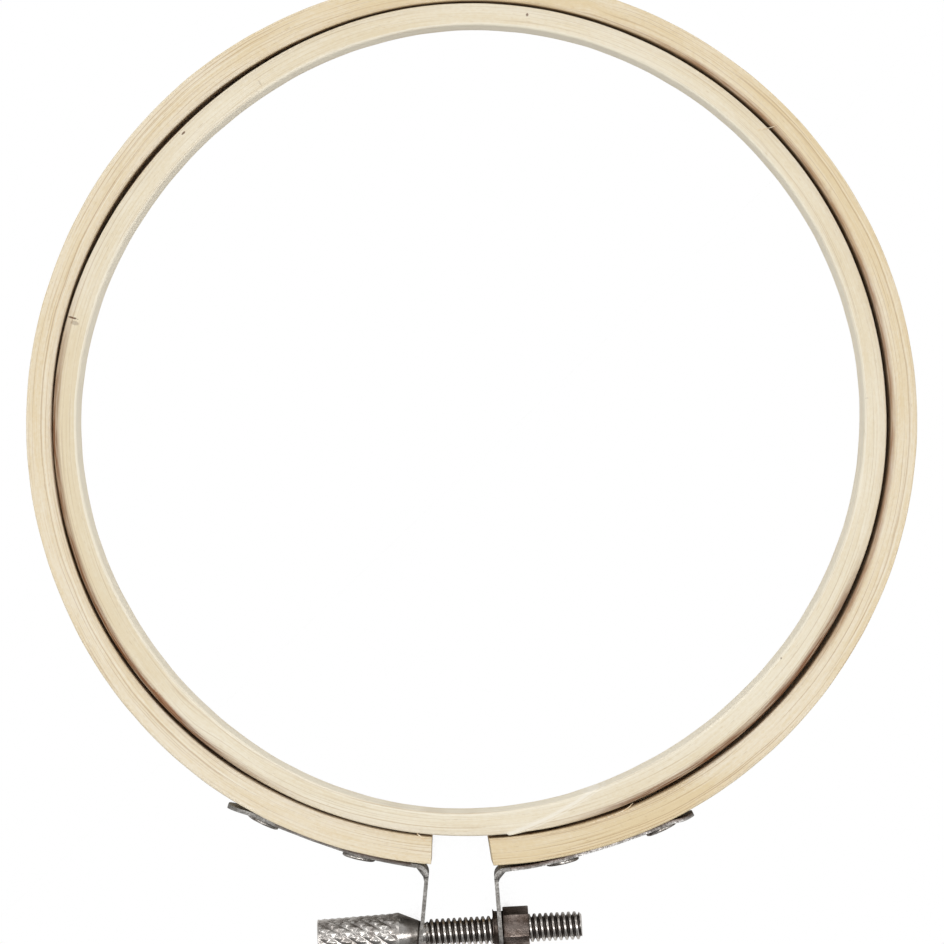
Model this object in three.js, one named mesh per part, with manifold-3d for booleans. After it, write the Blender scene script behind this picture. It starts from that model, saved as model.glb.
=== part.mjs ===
// Embroidery hoop: a closed inner ring lies inside a split outer ring of bent bamboo. Two bent sheet
// brackets are riveted to the ends of the outer ring, and a knurled screw draws their ears together.
// Millimetres. The hoop lies flat on Z = 0, its ring axis is +Z, and the split with the screw faces -Y.
// Left is -X and right is +X, seen from above. The outer ring bends open and shut about its far side,
// opposite the split, so it is made as two halves that meet there.
import * as THREE from 'three';
import { mergeVertices } from 'three/addons/utils/BufferGeometryUtils.js';
import Module from 'manifold-3d';

const wasm = await Module();
wasm.setup();

// Rings
const ringHeight = 8; // along the ring axis
const outerRingRadius = 61.6; // outside of the outer ring, for a hoop of 123 across
const outerRingWall = 3.7;
const ringGap = 0.7; // radial play between the two rings
const innerRingWall = 3.2;
const rimEase = 0.35; // chamfer on the long edges of both rings
const ringSegments = 96;

// Split of the outer ring
const splitReachLeft = 4.0; // from the middle of the split to the left end, at mid wall
const splitReachRight = 4.4;
const endSkewLeft = 0.6; // degrees that each sawn end leans away from the split's middle line
const endSkewRight = 10.6;
const flexGap = 0.3; // between the two halves at the far side

// Brackets, bent from sheet
const sheet = 0.55;
const strapWidth = 7;
const strapProud = 0.08; // from the ring's round outside to the strap at the rivets
const strapSunk = -0.15; // the same midway between the rivets, where the strap is drawn into the ring
const strapRunIn = 0.2; // the same near the bend
const strapTipLiftLeft = 0.9; // the same at the far tip
const strapTipLiftRight = 0.3;
const strapPlay = 0.1; // between the strap and its seat in the ring
const strapTipLength = 4.8; // from the far rivet to the tip
const strapTipCorner = 2.4; // corner radius of the tip
const bendRadius = 0.9; // inside of the bend
const earStationLeft = 5.15; // from the middle of the split to the ear's mid sheet, at the screw
const earStationRight = 5.78;
const earLeanLeft = 3.9; // degrees that each ear leans away from the split's middle line
const earLeanRight = 6.0;
const earCorner = 3.4; // corner radius of the ear's end
const gussetLeg = 1.2; // pressed triangle that stiffens the bend
const gussetWidth = 1.8;
const dentLeg = 1.3; // hollow behind the pressed triangle
const dentWidth = 0.9;

// Rivets
const rivetNear = 14.1; // along the ring's outside, from the middle of the split
const rivetSpacing = 14.4;
const rivetHeadRadius = 2.3;
const rivetHeadHeight = 0.8;
const rivetHeadRim = 0.4; // straight part of the head's edge
const rivetShoulderRadius = 0.7; // share of the head's radius where its top turns into the edge
const rivetShoulderHeight = 0.8; // share of the head's height at that place
const rivetFlatRadius = 0.3; // share of the head's radius that is flat on top
const rivetShankRadius = 0.9;
const rivetFootRadius = 1.7; // clinched end, sunk in the inside of the ring
const rivetFootDepth = 0.8;
const rivetFootSink = 0.15; // below the ring's inside, so that cloth can't catch
const rivetPlay = 0.1; // around the shank and under the head

// Screw, 5/32 inch with 32 threads per inch
const threadRadius = 1.95; // crest
const threadPitch = 0.794;
const threadDepth = 0.487;
const threadLength = 21.6;
const threadTipChamfer = 0.45;
const threadColumns = 16;
const screwStandOff = 9.13; // from the ring's outside to the screw's axis, in the middle of the split
const screwSlope = 4.45; // degrees that the screw's axis rises towards the right
const screwEarPlay = 0.1; // from the left ear's inner face to the first thread
const earHolePlay = 0.25; // radial, around the thread in the left ear
const coneLength = 3.7; // from the head down to the first thread
const neckUnderRoot = 0.02; // how far the neck in the ear stays below the thread's root
const headLength = 11.3;
const headBaseRadius = 3.08; // at the cone
const headTipRadius = 2.75; // at the free end
const headChamfer = 0.2;
const knurlCount = 13; // diamonds around
const knurlPitch = 2.0; // length of a diamond
const knurlDepth = 0.28;

// Nut, held in the right ear by a flared collar
const nutRadius = 3.26; // across corners, halved
const nutLength = 3.55;
const nutSides = 6;
const nutTurn = 15; // degrees from +Z to the first corner, towards -Y
const nutBorePlay = 0.2; // radial, around the thread
const nutSeatPlay = 0.05; // between the ear and the nut, on both sides
const collarRadius = 2.55;
const collarPlay = 0.1; // radial, between the collar and the right ear's hole
const flareRadius = 2.88;
const flareLength = 0.7;
const flareLip = 0.15; // wall at the flare's edge

// Places worked out from the sizes above
const midHeight = ringHeight / 2;
const outerRingBore = outerRingRadius - outerRingWall;
const outerRingMid = outerRingRadius - outerRingWall / 2;
const innerRingRadius = outerRingBore - ringGap;
const innerRingBore = innerRingRadius - innerRingWall;
const screwReach = outerRingRadius + screwStandOff;
const screwAngle = THREE.MathUtils.degToRad(screwSlope);
const screwDirection = new THREE.Vector2(Math.cos(screwAngle), Math.sin(screwAngle));
const rivetFar = rivetNear + rivetSpacing;
const strapLow = midHeight - strapWidth / 2;
const strapHigh = midHeight + strapWidth / 2;
const seatFlat = Math.cos(rivetHeadRadius / outerRingRadius); // the strap is flat under each rivet's head
const rivetSeat = (outerRingRadius + strapProud + sheet / 2) * seatFlat + sheet / 2;

const cutPast = 5; // how far a cutter reaches past what it cuts
const crestClear = 0.1; // how far the thread's cutter stays outside its crest
const helixRunOut = 1.5; // turns by which the helix is made too long at each end
const weldDistance = 1e-4;
const roundSegments = 24;
const bendSteps = 6;

const bamboo = { color: 0xe6d6b4, roughness: 0.62, metalness: 0 };
const paleBamboo = { color: 0xebdfc8, roughness: 0.62, metalness: 0 };
const platedSteel = { color: 0xa9a8a6, roughness: 0.42, metalness: 1 };
const brightNickel = { color: 0xb4b1ad, roughness: 0.28, metalness: 1 };
const darkNickel = { color: 0x857a76, roughness: 0.3, metalness: 1 };

// The two ends of the outer ring and what sits on them
const leftEnd = {
  side: -1,
  splitReach: splitReachLeft,
  endSkew: endSkewLeft,
  tipLift: strapTipLiftLeft,
  earStation: earStationLeft,
  earLean: earLeanLeft,
  earHole: threadRadius + earHolePlay,
};
const rightEnd = {
  side: 1,
  splitReach: splitReachRight,
  endSkew: endSkewRight,
  tipLift: strapTipLiftRight,
  earStation: earStationRight,
  earLean: earLeanRight,
  earHole: collarRadius + collarPlay,
};

// Closed triangle mesh to solid: welds shared corners and leaves out triangles with no area
function toSolid(geometry) {
  const bare = new THREE.BufferGeometry();
  bare.setAttribute('position', geometry.getAttribute('position').clone());
  if (geometry.index) {
    bare.setIndex(geometry.index.clone());
  }
  const welded = mergeVertices(bare, weldDistance);
  const index = welded.index.array;
  const corners = [];
  for (let i = 0; i < index.length; i += 3) {
    const [a, b, c] = [index[i], index[i + 1], index[i + 2]];
    if (a !== b && b !== c && c !== a) {
      corners.push(a, b, c);
    }
  }
  const vertProperties = new Float32Array(welded.getAttribute('position').array);
  const triVerts = new Uint32Array(corners);
  return new wasm.Manifold(new wasm.Mesh({ numProp: 3, vertProperties, triVerts }));
}

function toGeometry(solid) {
  const mesh = solid.getMesh();
  const geometry = new THREE.BufferGeometry();
  geometry.setAttribute('position', new THREE.BufferAttribute(mesh.vertProperties, 3));
  geometry.setIndex(new THREE.BufferAttribute(mesh.triVerts, 1));
  geometry.computeVertexNormals();
  return geometry;
}

// Solid turned about Y from [radius, y] pairs, in rising y on its outside
function lathed(profile, segments) {
  const points = profile.map(([radius, y]) => new THREE.Vector2(radius, y));
  return new THREE.LatheGeometry(points, segments);
}

// Solid turned about X from [x, radius] pairs that start and end on the axis
function turned(profile, segments = roundSegments) {
  const pairs = profile.map(([x, radius]) => [radius, x]);
  return toSolid(lathed(pairs, segments).rotateZ(-Math.PI / 2));
}

// Flat outline in XY, extruded along Z between two heights
function slab(outline, low, high) {
  const options = { depth: high - low, bevelEnabled: false };
  return toSolid(new THREE.ExtrudeGeometry(new THREE.Shape(outline), options).translate(0, 0, low));
}

// Solid whose X axis is laid along a direction in the XY plane, from a point at mid height
function laidAlong(solid, point, direction) {
  const place = new THREE.Matrix4().makeRotationZ(direction.angle());
  place.setPosition(point.x, point.y, midHeight);
  return solid.transform(place.elements);
}

// Point on a circle about the ring axis, at an arc length along the ring's outside from the split
function onRing(arc, radius) {
  const angle = arc / outerRingRadius;
  return new THREE.Vector2(radius * Math.sin(angle), -radius * Math.cos(angle));
}

// Point of the screw's axis with the given X
function onScrewAxis(x) {
  return new THREE.Vector2(x, x * Math.tan(screwAngle) - screwReach);
}

function mirrored(point, side) {
  return new THREE.Vector2(side * point.x, point.y);
}

function leftOf(direction) {
  return new THREE.Vector2(-direction.y, direction.x);
}

// Line moved to its left by a distance, with mitred corners
function offsetLine(line, distance) {
  return line.map((point, i) => {
    const before = new THREE.Vector2().subVectors(point, line[Math.max(i - 1, 0)]).normalize();
    const after = new THREE.Vector2().subVectors(line[Math.min(i + 1, line.length - 1)], point).normalize();
    const heading = before.add(after).normalize();
    const reach = i > 0 && i < line.length - 1 ? distance / Math.abs(heading.dot(after)) : distance;
    return point.clone().addScaledVector(leftOf(heading), reach);
  });
}

// Closed ring with eased edges, turned about Z
function ringSolid(bore, radius) {
  const section = [
    [bore + rimEase, 0],
    [radius - rimEase, 0],
    [radius, rimEase],
    [radius, ringHeight - rimEase],
    [radius - rimEase, ringHeight],
    [bore + rimEase, ringHeight],
    [bore, ringHeight - rimEase],
    [bore, rimEase],
    [bore + rimEase, 0],
  ];
  return toSolid(lathed(section, ringSegments).rotateX(Math.PI / 2));
}

// What one half of the outer ring leaves out: the other half, and the split up to its sawn end
function halfCutter({ side, splitReach, endSkew }) {
  const far = outerRingRadius + cutPast;
  const inside = -outerRingBore / 2; // well inside the ring's bore
  const lean = Math.tan(THREE.MathUtils.degToRad(endSkew));
  const sawnEnd = (y) => new THREE.Vector2(splitReach + (-y - outerRingMid) * lean, y);
  const outline = [
    new THREE.Vector2(flexGap / 2, far),
    new THREE.Vector2(flexGap / 2, 0),
    sawnEnd(inside),
    sawnEnd(-far),
    new THREE.Vector2(-far, -far),
    new THREE.Vector2(-far, far),
  ];
  return slab(outline.map((point) => mirrored(point, side)), -cutPast, ringHeight + cutPast);
}

// Middle of a rivet's seat on the strap's outer face
function rivetPlace(side, arc) {
  return mirrored(onRing(arc, rivetSeat), side);
}

// Depths below the strap's outer face, towards the ring axis
const ringInsideDepth = rivetSeat - outerRingBore;
const rivetFootEnd = ringInsideDepth - rivetFootSink;

// Rivet along +X, with X = 0 on the strap's outer face
function rivetSolid() {
  return turned([
    [-rivetFootEnd, 0],
    [-rivetFootEnd, rivetFootRadius],
    [-rivetFootEnd + rivetFootDepth, rivetShankRadius],
    [rivetPlay, rivetShankRadius],
    [rivetPlay, rivetHeadRadius],
    [rivetPlay + rivetHeadRim, rivetHeadRadius],
    [rivetPlay + rivetHeadHeight * rivetShoulderHeight, rivetHeadRadius * rivetShoulderRadius],
    [rivetPlay + rivetHeadHeight, rivetHeadRadius * rivetFlatRadius],
    [rivetPlay + rivetHeadHeight, 0],
  ]);
}

// Hole for a rivet through strap and ring, opened to a countersink on the inside of the ring
function rivetHole({ side }, arc) {
  const hole = turned([
    [-ringInsideDepth - cutPast, 0],
    [-ringInsideDepth - cutPast, rivetFootRadius + rivetPlay],
    [-rivetFootEnd, rivetFootRadius + rivetPlay],
    [-rivetFootEnd + rivetFootDepth + rivetPlay, rivetShankRadius + rivetPlay],
    [cutPast, rivetShankRadius + rivetPlay],
    [cutPast, 0],
  ]);
  const seat = rivetPlace(side, arc);
  return laidAlong(hole, seat, seat);
}

// Mid line of the strap from its far tip to its last point before the bend, on the right-hand side. It
// is flat under both rivets and bows in between them.
function strapLine({ earStation, tipLift }) {
  const seat = rivetHeadRadius;
  const runIn = (rivetNear - seat + earStation + bendRadius + sheet / 2) / 2;
  const bow = [1 / 4, 1 / 2, 3 / 4].map((part) => [
    THREE.MathUtils.lerp(rivetFar - seat, rivetNear + seat, part),
    THREE.MathUtils.lerp(strapProud, strapSunk, 4 * part * (1 - part)),
  ]);
  const stations = [
    [rivetFar + strapTipLength, tipLift],
    [rivetFar + seat, strapProud],
    [rivetFar - seat, strapProud],
    ...bow,
    [rivetNear + seat, strapProud],
    [rivetNear - seat, strapProud],
    [runIn, strapRunIn],
  ];
  return stations.map(([arc, off]) => onRing(arc, outerRingRadius + off + sheet / 2));
}

// Shallow seat that the strap is drawn into on the outside of the ring
function strapSeat(end) {
  const line = strapLine(end);
  const pastStrap = sheet; // how far the cutter reaches past the strap's outer face
  const outside = offsetLine(line, sheet / 2 + pastStrap);
  const inside = offsetLine(line, -sheet / 2 - strapPlay).reverse();
  const outline = [...outside, ...inside].map((point) => mirrored(point, end.side));
  return slab(outline, strapLow - strapPlay, strapHigh + strapPlay);
}

function outerRingHalf(end) {
  return ringSolid(outerRingBore, outerRingRadius)
    .subtract(halfCutter(end))
    .subtract(strapSeat(end))
    .subtract(rivetHole(end, rivetNear))
    .subtract(rivetHole(end, rivetFar));
}

// Where a line through p along d meets a line through q along e
function crossing(p, d, q, e) {
  const along = new THREE.Vector2().subVectors(q, p).cross(e) / d.cross(e);
  return p.clone().addScaledVector(d, along);
}

// The bend of the right bracket, seen from above: the strap heads for the corner and the ear leaves it.
// The left bracket has the mirror image of this outline, with its own station and lean.
function bendFrame(strapEnd, earPoint, earLean) {
  const strapHeading = leftOf(strapEnd.clone().normalize()).negate();
  const lean = THREE.MathUtils.degToRad(earLean);
  const earHeading = new THREE.Vector2(Math.sin(lean), -Math.cos(lean));
  const corner = crossing(strapEnd, strapHeading, earPoint, earHeading);
  return { strapHeading, earHeading, corner };
}

// Round bend of the mid line between its two straight runs
function bendLine({ strapHeading, earHeading, corner }) {
  const radius = bendRadius + sheet / 2;
  const turn = Math.acos(strapHeading.dot(earHeading));
  const start = corner.clone().addScaledVector(strapHeading, -radius * Math.tan(turn / 2));
  const centre = start.clone().addScaledVector(leftOf(strapHeading), radius);
  const points = [];
  for (let step = 0; step <= bendSteps; step += 1) {
    points.push(start.clone().rotateAround(centre, turn * step / bendSteps));
  }
  return points;
}

// What is cut away beyond the rounded end of a strip of the strap's width: the end runs along a heading
// up to a point, and is rounded with a corner radius
function endTrim(end, heading, corner) {
  const half = strapWidth / 2;
  const flat = half - corner;
  const outline = [];
  for (let step = 0; step <= bendSteps; step += 1) {
    const angle = Math.PI / 2 * (1 - step / bendSteps);
    outline.push(new THREE.Vector2(corner * (Math.cos(angle) - 1), flat + corner * Math.sin(angle)));
  }
  const lower = outline.map((point) => new THREE.Vector2(point.x, -point.y)).reverse();
  const outside = [
    new THREE.Vector2(-corner, -half - cutPast),
    new THREE.Vector2(cutPast, -half - cutPast),
    new THREE.Vector2(cutPast, half + cutPast),
    new THREE.Vector2(-corner, half + cutPast),
  ];
  const trimReach = 2 * sheet; // to both sides of the strip's mid sheet
  const trim = slab([...outline, ...lower, ...outside], -trimReach, trimReach);
  const along = new THREE.Vector3(heading.x, heading.y, 0);
  const up = new THREE.Vector3(0, 0, 1);
  const place = new THREE.Matrix4().makeBasis(along, up, along.clone().cross(up));
  place.setPosition(end.x, end.y, midHeight);
  return trim.transform(place.elements);
}

// Triangle in the bend: one corner in mid sheet, and a leg along the strap's and the ear's surface.
// The inside of the bend is to the left of the line, and is taken for offset = 1.
function bendTriangle(frame, offset, leg, width, side) {
  const { strapHeading, earHeading, corner } = frame;
  const bisector = leftOf(strapHeading).add(leftOf(earHeading));
  const surface = corner.clone().addScaledVector(bisector, offset * sheet / bisector.lengthSq());
  const outline = [
    offset > 0 ? corner : surface.clone().addScaledVector(bisector, -1),
    surface.clone().addScaledVector(strapHeading, -leg),
    surface.clone().addScaledVector(earHeading, leg),
  ];
  return slab(outline.map((point) => mirrored(point, side)), midHeight - width / 2, midHeight + width / 2);
}

// Bracket: strap along the ring, bend with its pressed gusset, and ear with a hole for the screw
function bracketSolid(end) {
  const { side, earStation, earLean, earHole } = end;
  const earPoint = mirrored(onScrewAxis(side * earStation), side);
  const strap = strapLine(end);
  const frame = bendFrame(strap[strap.length - 1], earPoint, earLean);
  const earEnd = earPoint.clone().addScaledVector(frame.earHeading, strapWidth / 2);
  const line = [...strap, ...bendLine(frame), earEnd];
  const outline = [...offsetLine(line, sheet / 2), ...offsetLine(line, -sheet / 2).reverse()];
  const tipHeading = new THREE.Vector2().subVectors(strap[0], strap[1]).normalize();
  const hole = turned([[-cutPast, 0], [-cutPast, earHole], [cutPast, earHole], [cutPast, 0]]);
  return slab(outline.map((point) => mirrored(point, side)), strapLow, strapHigh)
    .add(bendTriangle(frame, 1, gussetLeg, gussetWidth, side))
    .subtract(bendTriangle(frame, -1, dentLeg, dentWidth, side))
    .subtract(endTrim(mirrored(earEnd, side), mirrored(frame.earHeading, side), earCorner))
    .subtract(endTrim(mirrored(strap[0], side), mirrored(tipHeading, side), strapTipCorner))
    .subtract(rivetHole(end, rivetNear))
    .subtract(rivetHole(end, rivetFar))
    .subtract(laidAlong(hole, mirrored(earPoint, side), screwDirection));
}

// Closed surface through rings of points about X, all with the same even count. Its diagonals follow the
// grooves of a diamond knurl, which cross where the sum of a point's place and its ring's is odd.
function skinnedSolid(rings) {
  const count = rings[0].length;
  const ends = [rings[0][0].x, rings[rings.length - 1][0].x];
  const points = [...rings.flat(), new THREE.Vector3(ends[0], 0, 0), new THREE.Vector3(ends[1], 0, 0)];
  const [startCentre, endCentre] = [points.length - 2, points.length - 1];
  const last = (rings.length - 1) * count;
  const faces = [];
  for (let i = 0; i < count; i += 1) {
    const next = (i + 1) % count;
    faces.push([startCentre, next, i], [endCentre, last + i, last + next]);
    for (let ring = 0; ring < rings.length - 1; ring += 1) {
      const [a, b] = [ring * count + i, ring * count + next];
      const [c, d] = [a + count, b + count];
      if ((i + ring) % 2 === 0) {
        faces.push([a, b, c], [b, d, c]);
      } else {
        faces.push([a, b, d], [a, d, c]);
      }
    }
  }
  const geometry = new THREE.BufferGeometry().setFromPoints(points);
  geometry.setIndex(faces.flat());
  return toSolid(geometry);
}

// Tapered head with its diamond knurl, and the cone that leads down to the neck in the ear's hole.
// X = 0 is where the thread starts, and the free end of the head is at -X.
function headSolid() {
  const columns = 2 * knurlCount;
  const freeEnd = -coneLength - headLength;
  const knurlStart = freeEnd + headChamfer;
  const knurlRows = Math.round((-coneLength - knurlStart) / (knurlPitch / 2));
  const neckRadius = (threadRadius - threadDepth) * Math.cos(Math.PI / threadColumns) - neckUnderRoot;
  const ring = (x, radiusAt) => Array.from({ length: columns }, (_, i) => {
    const angle = 2 * Math.PI * i / columns;
    return new THREE.Vector3(x, radiusAt(i) * Math.cos(angle), radiusAt(i) * Math.sin(angle));
  });
  const rings = [ring(freeEnd, () => headTipRadius - headChamfer - knurlDepth / 2)];
  for (let row = 0; row <= knurlRows; row += 1) {
    const part = row / knurlRows;
    const radius = THREE.MathUtils.lerp(headTipRadius, headBaseRadius, part);
    const groove = (i) => ((i + row) % 2 === 0 ? knurlDepth : 0);
    rings.push(ring(THREE.MathUtils.lerp(knurlStart, -coneLength, part), (i) => radius - groove(i)));
  }
  const coneStart = 0.08; // part of the cone's length where the knurl has run out
  const coneRadius = THREE.MathUtils.lerp(headBaseRadius, neckRadius, coneStart);
  rings.push(ring(-coneLength * (1 - coneStart), () => coneRadius));
  rings.push(ring(0, () => neckRadius));
  rings.push(ring(threadPitch, () => neckRadius));
  return skinnedSolid(rings);
}

// Right-hand thread about X as one helical surface. Row j of column i lies j half pitches and i columns
// along the helix; past the last column a row goes on as the row two further, which is one turn ahead.
function helixSolid() {
  const rowsPerTurn = 2;
  const rows = rowsPerTurn * Math.ceil(threadLength / threadPitch + 2 * helixRunOut);
  const start = -helixRunOut * threadPitch;
  const points = [];
  for (let row = 0; row <= rows + rowsPerTurn; row += 1) {
    const radius = row % rowsPerTurn === 0 ? threadRadius - threadDepth : threadRadius;
    for (let column = 0; column < threadColumns; column += 1) {
      const turn = column / threadColumns;
      const x = start + (row / rowsPerTurn + turn) * threadPitch;
      const angle = 2 * Math.PI * turn;
      points.push(new THREE.Vector3(x, radius * Math.cos(angle), radius * Math.sin(angle)));
    }
  }
  const startCentre = points.push(new THREE.Vector3(start, 0, 0)) - 1;
  const endCentre = points.push(new THREE.Vector3(start + (rows / rowsPerTurn + 1) * threadPitch, 0, 0)) - 1;
  const wrap = (column) => Math.floor(column / threadColumns);
  const at = (column, row) => (row + wrap(column) * rowsPerTurn) * threadColumns + column % threadColumns;
  const faces = [];
  for (let column = 0; column < threadColumns; column += 1) {
    faces.push([startCentre, at(column + 1, 0), at(column, 0)]);
    faces.push([endCentre, at(column, rows), at(column + 1, rows)]);
    for (let row = 0; row < rows; row += 1) {
      faces.push([at(column, row), at(column + 1, row), at(column, row + 1)]);
      faces.push([at(column + 1, row), at(column + 1, row + 1), at(column, row + 1)]);
    }
  }
  for (let row = 0; row < rowsPerTurn; row += 1) {
    faces.push([startCentre, at(0, row), at(0, row + 1)]);
    faces.push([endCentre, at(0, rows + row + 1), at(0, rows + row)]);
  }
  const geometry = new THREE.BufferGeometry().setFromPoints(points);
  geometry.setIndex(faces.flat());
  return toSolid(geometry);
}

// Threaded shank with a tapered start and a chamfered tip
function threadSolid() {
  const overCrest = threadRadius + crestClear;
  const envelope = turned([
    [0, 0],
    [0, threadRadius - threadDepth],
    [threadPitch, overCrest],
    [threadLength - threadTipChamfer, overCrest],
    [threadLength, overCrest - threadTipChamfer],
    [threadLength, 0],
  ]);
  return helixSolid().intersect(envelope);
}

function screwSolid() {
  return threadSolid().add(headSolid());
}

// How far a tilted sheet reaches along the screw's axis: its half thickness, and its slant over a radius
function halfSheetAlongScrew(tilt, radius) {
  const angle = THREE.MathUtils.degToRad(Math.abs(tilt));
  return sheet / 2 / Math.cos(angle) + radius * Math.tan(angle);
}

const leftEarReach = halfSheetAlongScrew(earLeanLeft + screwSlope, threadRadius);
const rightEarReach = halfSheetAlongScrew(earLeanRight - screwSlope, nutRadius) + nutSeatPlay;

// Nut along +X, with X = 0 on its face against the ear; its collar passes through the ear and flares
function nutSolid() {
  const flareStart = -2 * rightEarReach;
  const flareEnd = flareStart - flareLength;
  const collarRoot = nutLength / 2; // inside the hexagon
  const bore = threadRadius + nutBorePlay;
  const turn = new THREE.Matrix4().makeRotationX(THREE.MathUtils.degToRad(nutTurn));
  const hexagon = turned([[0, 0], [0, nutRadius], [nutLength, nutRadius], [nutLength, 0]], nutSides);
  const collar = turned([
    [flareEnd, 0],
    [flareEnd, flareRadius],
    [flareStart, collarRadius],
    [collarRoot, collarRadius],
    [collarRoot, 0],
  ]);
  const hole = turned([
    [flareEnd - cutPast, 0],
    [flareEnd - cutPast, flareRadius - flareLip],
    [flareEnd, flareRadius - flareLip],
    [flareStart, bore],
    [nutLength + cutPast, bore],
    [nutLength + cutPast, 0],
  ]);
  return hexagon.transform(turn.elements).add(collar).subtract(hole);
}

function piece(name, solid, look) {
  const mesh = new THREE.Mesh(toGeometry(solid), new THREE.MeshStandardMaterial(look));
  mesh.name = name;
  return mesh;
}

// Piece made along +X, laid along a direction in the XY plane from a point at mid height
function laidPiece(name, solid, look, point, direction) {
  const mesh = piece(name, solid, look);
  mesh.position.set(point.x, point.y, midHeight);
  mesh.rotation.z = direction.angle();
  return mesh;
}

function rivetPiece(name, { side }, arc) {
  const seat = rivetPlace(side, arc);
  return laidPiece(name, rivetSolid(), platedSteel, seat, seat);
}

function screwPiece() {
  const place = onScrewAxis(-earStationLeft).addScaledVector(screwDirection, leftEarReach + screwEarPlay);
  return laidPiece('clamp_screw', screwSolid(), brightNickel, place, screwDirection);
}

function nutPiece() {
  const place = onScrewAxis(earStationRight).addScaledVector(screwDirection, rightEarReach);
  return laidPiece('clamp_nut', nutSolid(), darkNickel, place, screwDirection);
}

const hoop = new THREE.Group();
hoop.add(
  piece('outer_ring_left', outerRingHalf(leftEnd), bamboo),
  piece('outer_ring_right', outerRingHalf(rightEnd), bamboo),
  piece('inner_ring', ringSolid(innerRingBore, innerRingRadius), paleBamboo),
  piece('bracket_left', bracketSolid(leftEnd), platedSteel),
  piece('bracket_right', bracketSolid(rightEnd), platedSteel),
  rivetPiece('rivet_left_near', leftEnd, rivetNear),
  rivetPiece('rivet_left_far', leftEnd, rivetFar),
  rivetPiece('rivet_right_near', rightEnd, rivetNear),
  rivetPiece('rivet_right_far', rightEnd, rivetFar),
  screwPiece(),
  nutPiece(),
);

// The origin is under the middle of the whole hoop, screw included, on the surface that it lies on
const middle = new THREE.Box3().setFromObject(hoop, true).getCenter(new THREE.Vector3());
hoop.position.set(-middle.x, -middle.y, 0);

const group = new THREE.Group();
group.add(hoop);

export default group;
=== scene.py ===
import math
from functools import partialmethod

import bpy
import numpy as np
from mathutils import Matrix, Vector


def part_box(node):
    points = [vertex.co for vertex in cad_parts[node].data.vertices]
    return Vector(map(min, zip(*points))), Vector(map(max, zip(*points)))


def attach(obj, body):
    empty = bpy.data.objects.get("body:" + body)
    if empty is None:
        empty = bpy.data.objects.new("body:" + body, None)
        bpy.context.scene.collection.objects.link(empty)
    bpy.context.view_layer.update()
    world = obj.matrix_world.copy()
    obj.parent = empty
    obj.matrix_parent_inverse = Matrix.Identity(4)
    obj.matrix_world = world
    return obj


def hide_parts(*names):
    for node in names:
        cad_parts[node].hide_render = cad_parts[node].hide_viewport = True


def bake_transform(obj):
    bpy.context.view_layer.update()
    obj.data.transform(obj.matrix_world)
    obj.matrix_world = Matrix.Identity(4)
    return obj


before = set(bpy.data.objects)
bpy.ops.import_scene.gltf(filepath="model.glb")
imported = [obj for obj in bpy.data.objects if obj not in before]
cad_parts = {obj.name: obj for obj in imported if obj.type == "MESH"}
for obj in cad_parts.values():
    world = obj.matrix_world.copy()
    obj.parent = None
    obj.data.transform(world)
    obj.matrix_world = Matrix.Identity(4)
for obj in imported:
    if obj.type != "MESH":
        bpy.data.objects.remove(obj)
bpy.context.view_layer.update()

# Shapes are worked out in millimetres about the middle of the rings, with the table at height 0.
# Angles turn from +X towards +Y, so the split lies at -90 degrees.
metres = 0.001
ringLow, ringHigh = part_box("inner_ring")
hoopCentre = np.array([ringLow.x + ringHigh.x, ringLow.y + ringHigh.y, 0.0]) / (2 * metres)
ringHeight = 8.0
midHeight = ringHeight / 2
splitAngle = -90.0


def newObject(name, data):
    made = bpy.data.objects.new(name, data)
    bpy.context.scene.collection.objects.link(made)
    return made


# Camera: straight down on the rings, turned a little about its own axis
camera = {
    "height": 628.0,            # above the table
    "turn": 1.35,               # degrees
    "lens": 171.65,
    "shift": (0.00138, -0.0534),
}


def makeCamera(look):
    data = bpy.data.cameras.new("photoCamera")
    data.lens = look["lens"]
    data.shift_x, data.shift_y = look["shift"]
    data.clip_start, data.clip_end = 0.01, 20.0
    holder = newObject("photoCamera", data)
    holder.location = (hoopCentre + [0, 0, look["height"]]) * metres
    holder.rotation_euler = (0, 0, math.radians(look["turn"]))
    bpy.context.scene.camera = holder


makeCamera(camera)
print("camera placed")


# Mesh tools

# Corner indices of a grid of points, row after row: each face is (row, column) and its three neighbours.
# The second and third arrays give the row and column of each corner before any wrap.
def gridFaces(rows, columns, wrapRows=False, wrapColumns=False, first=0):
    row, column = np.meshgrid(np.arange(rows if wrapRows else rows - 1),
                              np.arange(columns if wrapColumns else columns - 1), indexing="ij")
    rowCorners = np.stack([row, row, row + 1, row + 1], -1).reshape(-1, 4)
    columnCorners = np.stack([column, column + 1, column + 1, column], -1).reshape(-1, 4)
    faces = first + (rowCorners % rows) * columns + columnCorners % columns
    return faces, rowCorners, columnCorners


# Fan of triangles from a centre point to the points of a closed loop
def fanFaces(loop, centre):
    return np.stack([loop, np.roll(loop, -1), np.full(len(loop), centre)], -1)


# Faces of a tube of point rings, each end closed by a fan to a centre point that comes after the rings
def tubeFaces(rows, columns):
    first = np.arange(columns)
    return [gridFaces(rows, columns, wrapColumns=True)[0], fanFaces(first[::-1], rows * columns),
            fanFaces(first + (rows - 1) * columns, rows * columns + 1)]


# Puts points in millimetres and groups of faces, which face outwards, into one closed object
def makePiece(name, points, faceGroups, material):
    mesh = bpy.data.meshes.new(name)
    faces = [face for group in faceGroups for face in group.tolist()]
    mesh.from_pydata(((points + hoopCentre) * metres).tolist(), [], faces, shade_flat=False)
    mesh.materials.append(material)
    return newObject(name, mesh)


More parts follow.
